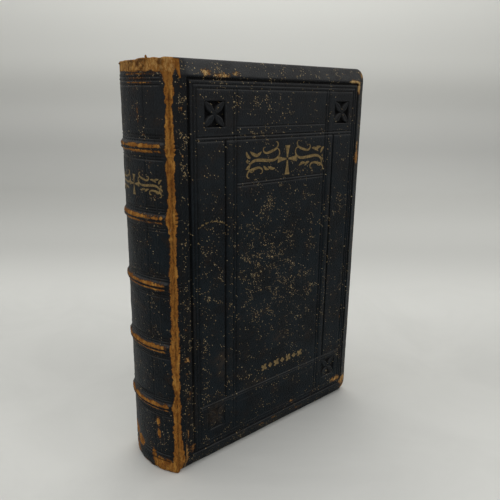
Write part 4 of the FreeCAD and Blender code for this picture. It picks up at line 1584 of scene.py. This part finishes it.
# Painted light and shade along the sweep, as brightness by metres from below the camera: a painted shadow
# of the book near 0.41 m, painted shade deepest from 1.1 to 1.45 m at the foot of the curve, and painted
# light rising up the wall.
SWEEP_LIGHT_AND_SHADE = (
    (0.27, 1.05), (0.41, 0.88), (0.56, 0.94), (0.80, 0.70), (1.10, 0.63), (1.45, 0.64), (1.58, 0.84),
    (1.72, 1.14), (1.90, 1.30),
)
TONE_LENGTH = 2.0           # metres that the tones are spread over
TONE_SCALE = 1.4            # brings the palest tone below 1


def sweep():
    """A floor that curves up into a wall well behind the book."""
    across = Vector((VIEW_FLAT.y, -VIEW_FLAT.x, 0))
    foot = Vector((CAMERA_PLACE.x, CAMERA_PLACE.y, 0))
    line = [(-SWEEP_HALF, 0.0), (0.0, 0.0), (SWEEP_START * 0.5, 0.0), (SWEEP_START, 0.0)]
    for k in range(1, 17):
        turn = math.pi / 2 * k / 16
        line.append((SWEEP_START + SWEEP_RADIUS * math.sin(turn), SWEEP_RADIUS * (1 - math.cos(turn))))
    line.append((SWEEP_START + SWEEP_RADIUS, SWEEP_TOP))
    points, faces, uv, length = [], [], [], -SWEEP_HALF
    for k, (d, z) in enumerate(line):
        if k:
            length += math.hypot(d - line[k - 1][0], z - line[k - 1][1])
        for side in (-1, 1):
            place = foot + VIEW_FLAT * d + across * SWEEP_HALF * side
            points.append((place.x / MM, place.y / MM, z / MM))
            uv.append((SWEEP_HALF * side, length))
    for k in range(len(line) - 1):
        faces.append((2 * k, 2 * k + 1, 2 * k + 3, 2 * k + 2))
    floor = mesh_object("pale_sweep", points, faces, uv)
    floor.data.materials.append(sweep_material())


def sweep_material():
    """A dull pale sweep with painted light and shade along it and a painted pool of light on its right
    side, faintly marbled near the book.
    """
    material, tree, shader = new_material("pale_sweep", Roughness=0.8)
    aside, run, _ = parts_of(tree, skin_coordinates(tree))
    ramp = add(tree, "ShaderNodeValToRGB", {"Fac": calc(tree, "DIVIDE", run, TONE_LENGTH)})
    ramp.color_ramp.interpolation = "EASE"
    stops = ramp.color_ramp.elements
    while len(stops) < len(SWEEP_LIGHT_AND_SHADE):
        stops.new(1.0)
    for stop, (distance, tone) in zip(stops, SWEEP_LIGHT_AND_SHADE):
        stop.position = distance / TONE_LENGTH
        stop.color = (tone / TONE_SCALE, tone / TONE_SCALE, tone / TONE_SCALE, 1)
    tone = times(tree, ramp.outputs[0], TONE_SCALE)
    # Painted light: the right side of the far floor is painted brighter, as if lit by the wash lamp.
    right = smooth_range(tree, aside, -0.25, 0.55, 0.0, 1.0)
    far = smooth_range(tree, run, 0.6, 1.0, 0.0, 0.20)
    far = times(tree, far, smooth_range(tree, run, 1.25, 1.60, 1.0, 0.0))
    tone = times(tree, tone, calc(tree, "ADD", 1.0, times(tree, right, far)))
    marble = noise_of(tree, skin_coordinates(tree), 9.0, 6.0, 0.62, 1.2)
    veins = smooth_range(tree, marble, 0.3, 0.7, 0.972, 1.028)
    near_floor = smooth_range(tree, run, 0.5, 0.7, 1.0, 0.0)
    veined = times(tree, near_floor, calc(tree, "SUBTRACT", veins, 1.0))
    tone = times(tree, tone, calc(tree, "ADD", 1.0, veined))
    grey = add(tree, "ShaderNodeCombineColor", {0: tone, 1: tone, 2: tone}).outputs[0]
    feed(tree, shader, Base_Color=blend_colour(tree, 1.0, grey, FLOOR_COLOUR, "MULTIPLY"))
    return material


ROOM_WALL = 0.26
ROOM_CEILING = 0.80
# Lamps, as (name, place, what it is aimed at, width in metres, watts).
LAMPS = (
    ("ceiling_light", (0.15, 0.0, 1.4), (0.0, 0.0, 0.1), 1.4, 6.5),
    ("wall_wash", (0.30, 0.36, 1.25), (0.76, 0.87, 0.50), 0.7, 5.0),
)


def soft_room():
    """Dim walls and a bright ceiling."""
    world = bpy.data.worlds.new("soft_room")
    world.use_nodes = True
    tree = world.node_tree
    ahead = add(tree, "ShaderNodeTexCoord").outputs["Generated"]
    tone = smooth_range(tree, parts_of(tree, ahead)[2], 0.0, 0.75, ROOM_WALL, ROOM_CEILING)
    background = tree.nodes["Background"]
    tree.links.new(add(tree, "ShaderNodeCombineColor", {0: tone, 1: tone, 2: tone}).outputs[0],
                   background.inputs["Color"])
    bpy.context.scene.world = world


def lamps():
    """Broad soft lights, each turned towards its aim."""
    for name, place, aim, size, power in LAMPS:
        light = bpy.data.lights.new(name, "AREA")
        light.size = size
        light.energy = power
        lamp = bpy.data.objects.new(name, light)
        lamp.location = place
        lamp.rotation_mode = "QUATERNION"
        lamp.rotation_quaternion = (Vector(aim) - Vector(place)).to_track_quat("-Z", "Y")
        bpy.context.scene.collection.objects.link(lamp)


def camera():
    """The view from the spine side, a little above the middle of the book."""
    lens = bpy.data.cameras.new("camera")
    lens.sensor_width = 36.0
    lens.lens = 39.1
    holder = bpy.data.objects.new("camera", lens)
    ahead = (VIEW_FLAT * math.cos(CAMERA_PITCH) + Vector((0, 0, -math.sin(CAMERA_PITCH)))).normalized()
    level = ahead.cross(Vector((0, 0, 1))).normalized()
    above = level.cross(ahead)
    right = level * math.cos(CAMERA_ROLL) + above * math.sin(CAMERA_ROLL)
    up = above * math.cos(CAMERA_ROLL) - level * math.sin(CAMERA_ROLL)
    turn = Matrix((right, up, -ahead)).transposed()
    holder.matrix_world = Matrix.Translation(CAMERA_PLACE) @ turn.to_4x4()
    bpy.context.scene.collection.objects.link(holder)
    bpy.context.scene.camera = holder


sweep()
soft_room()
lamps()
camera()
bpy.context.scene.view_settings.view_transform = "Standard"
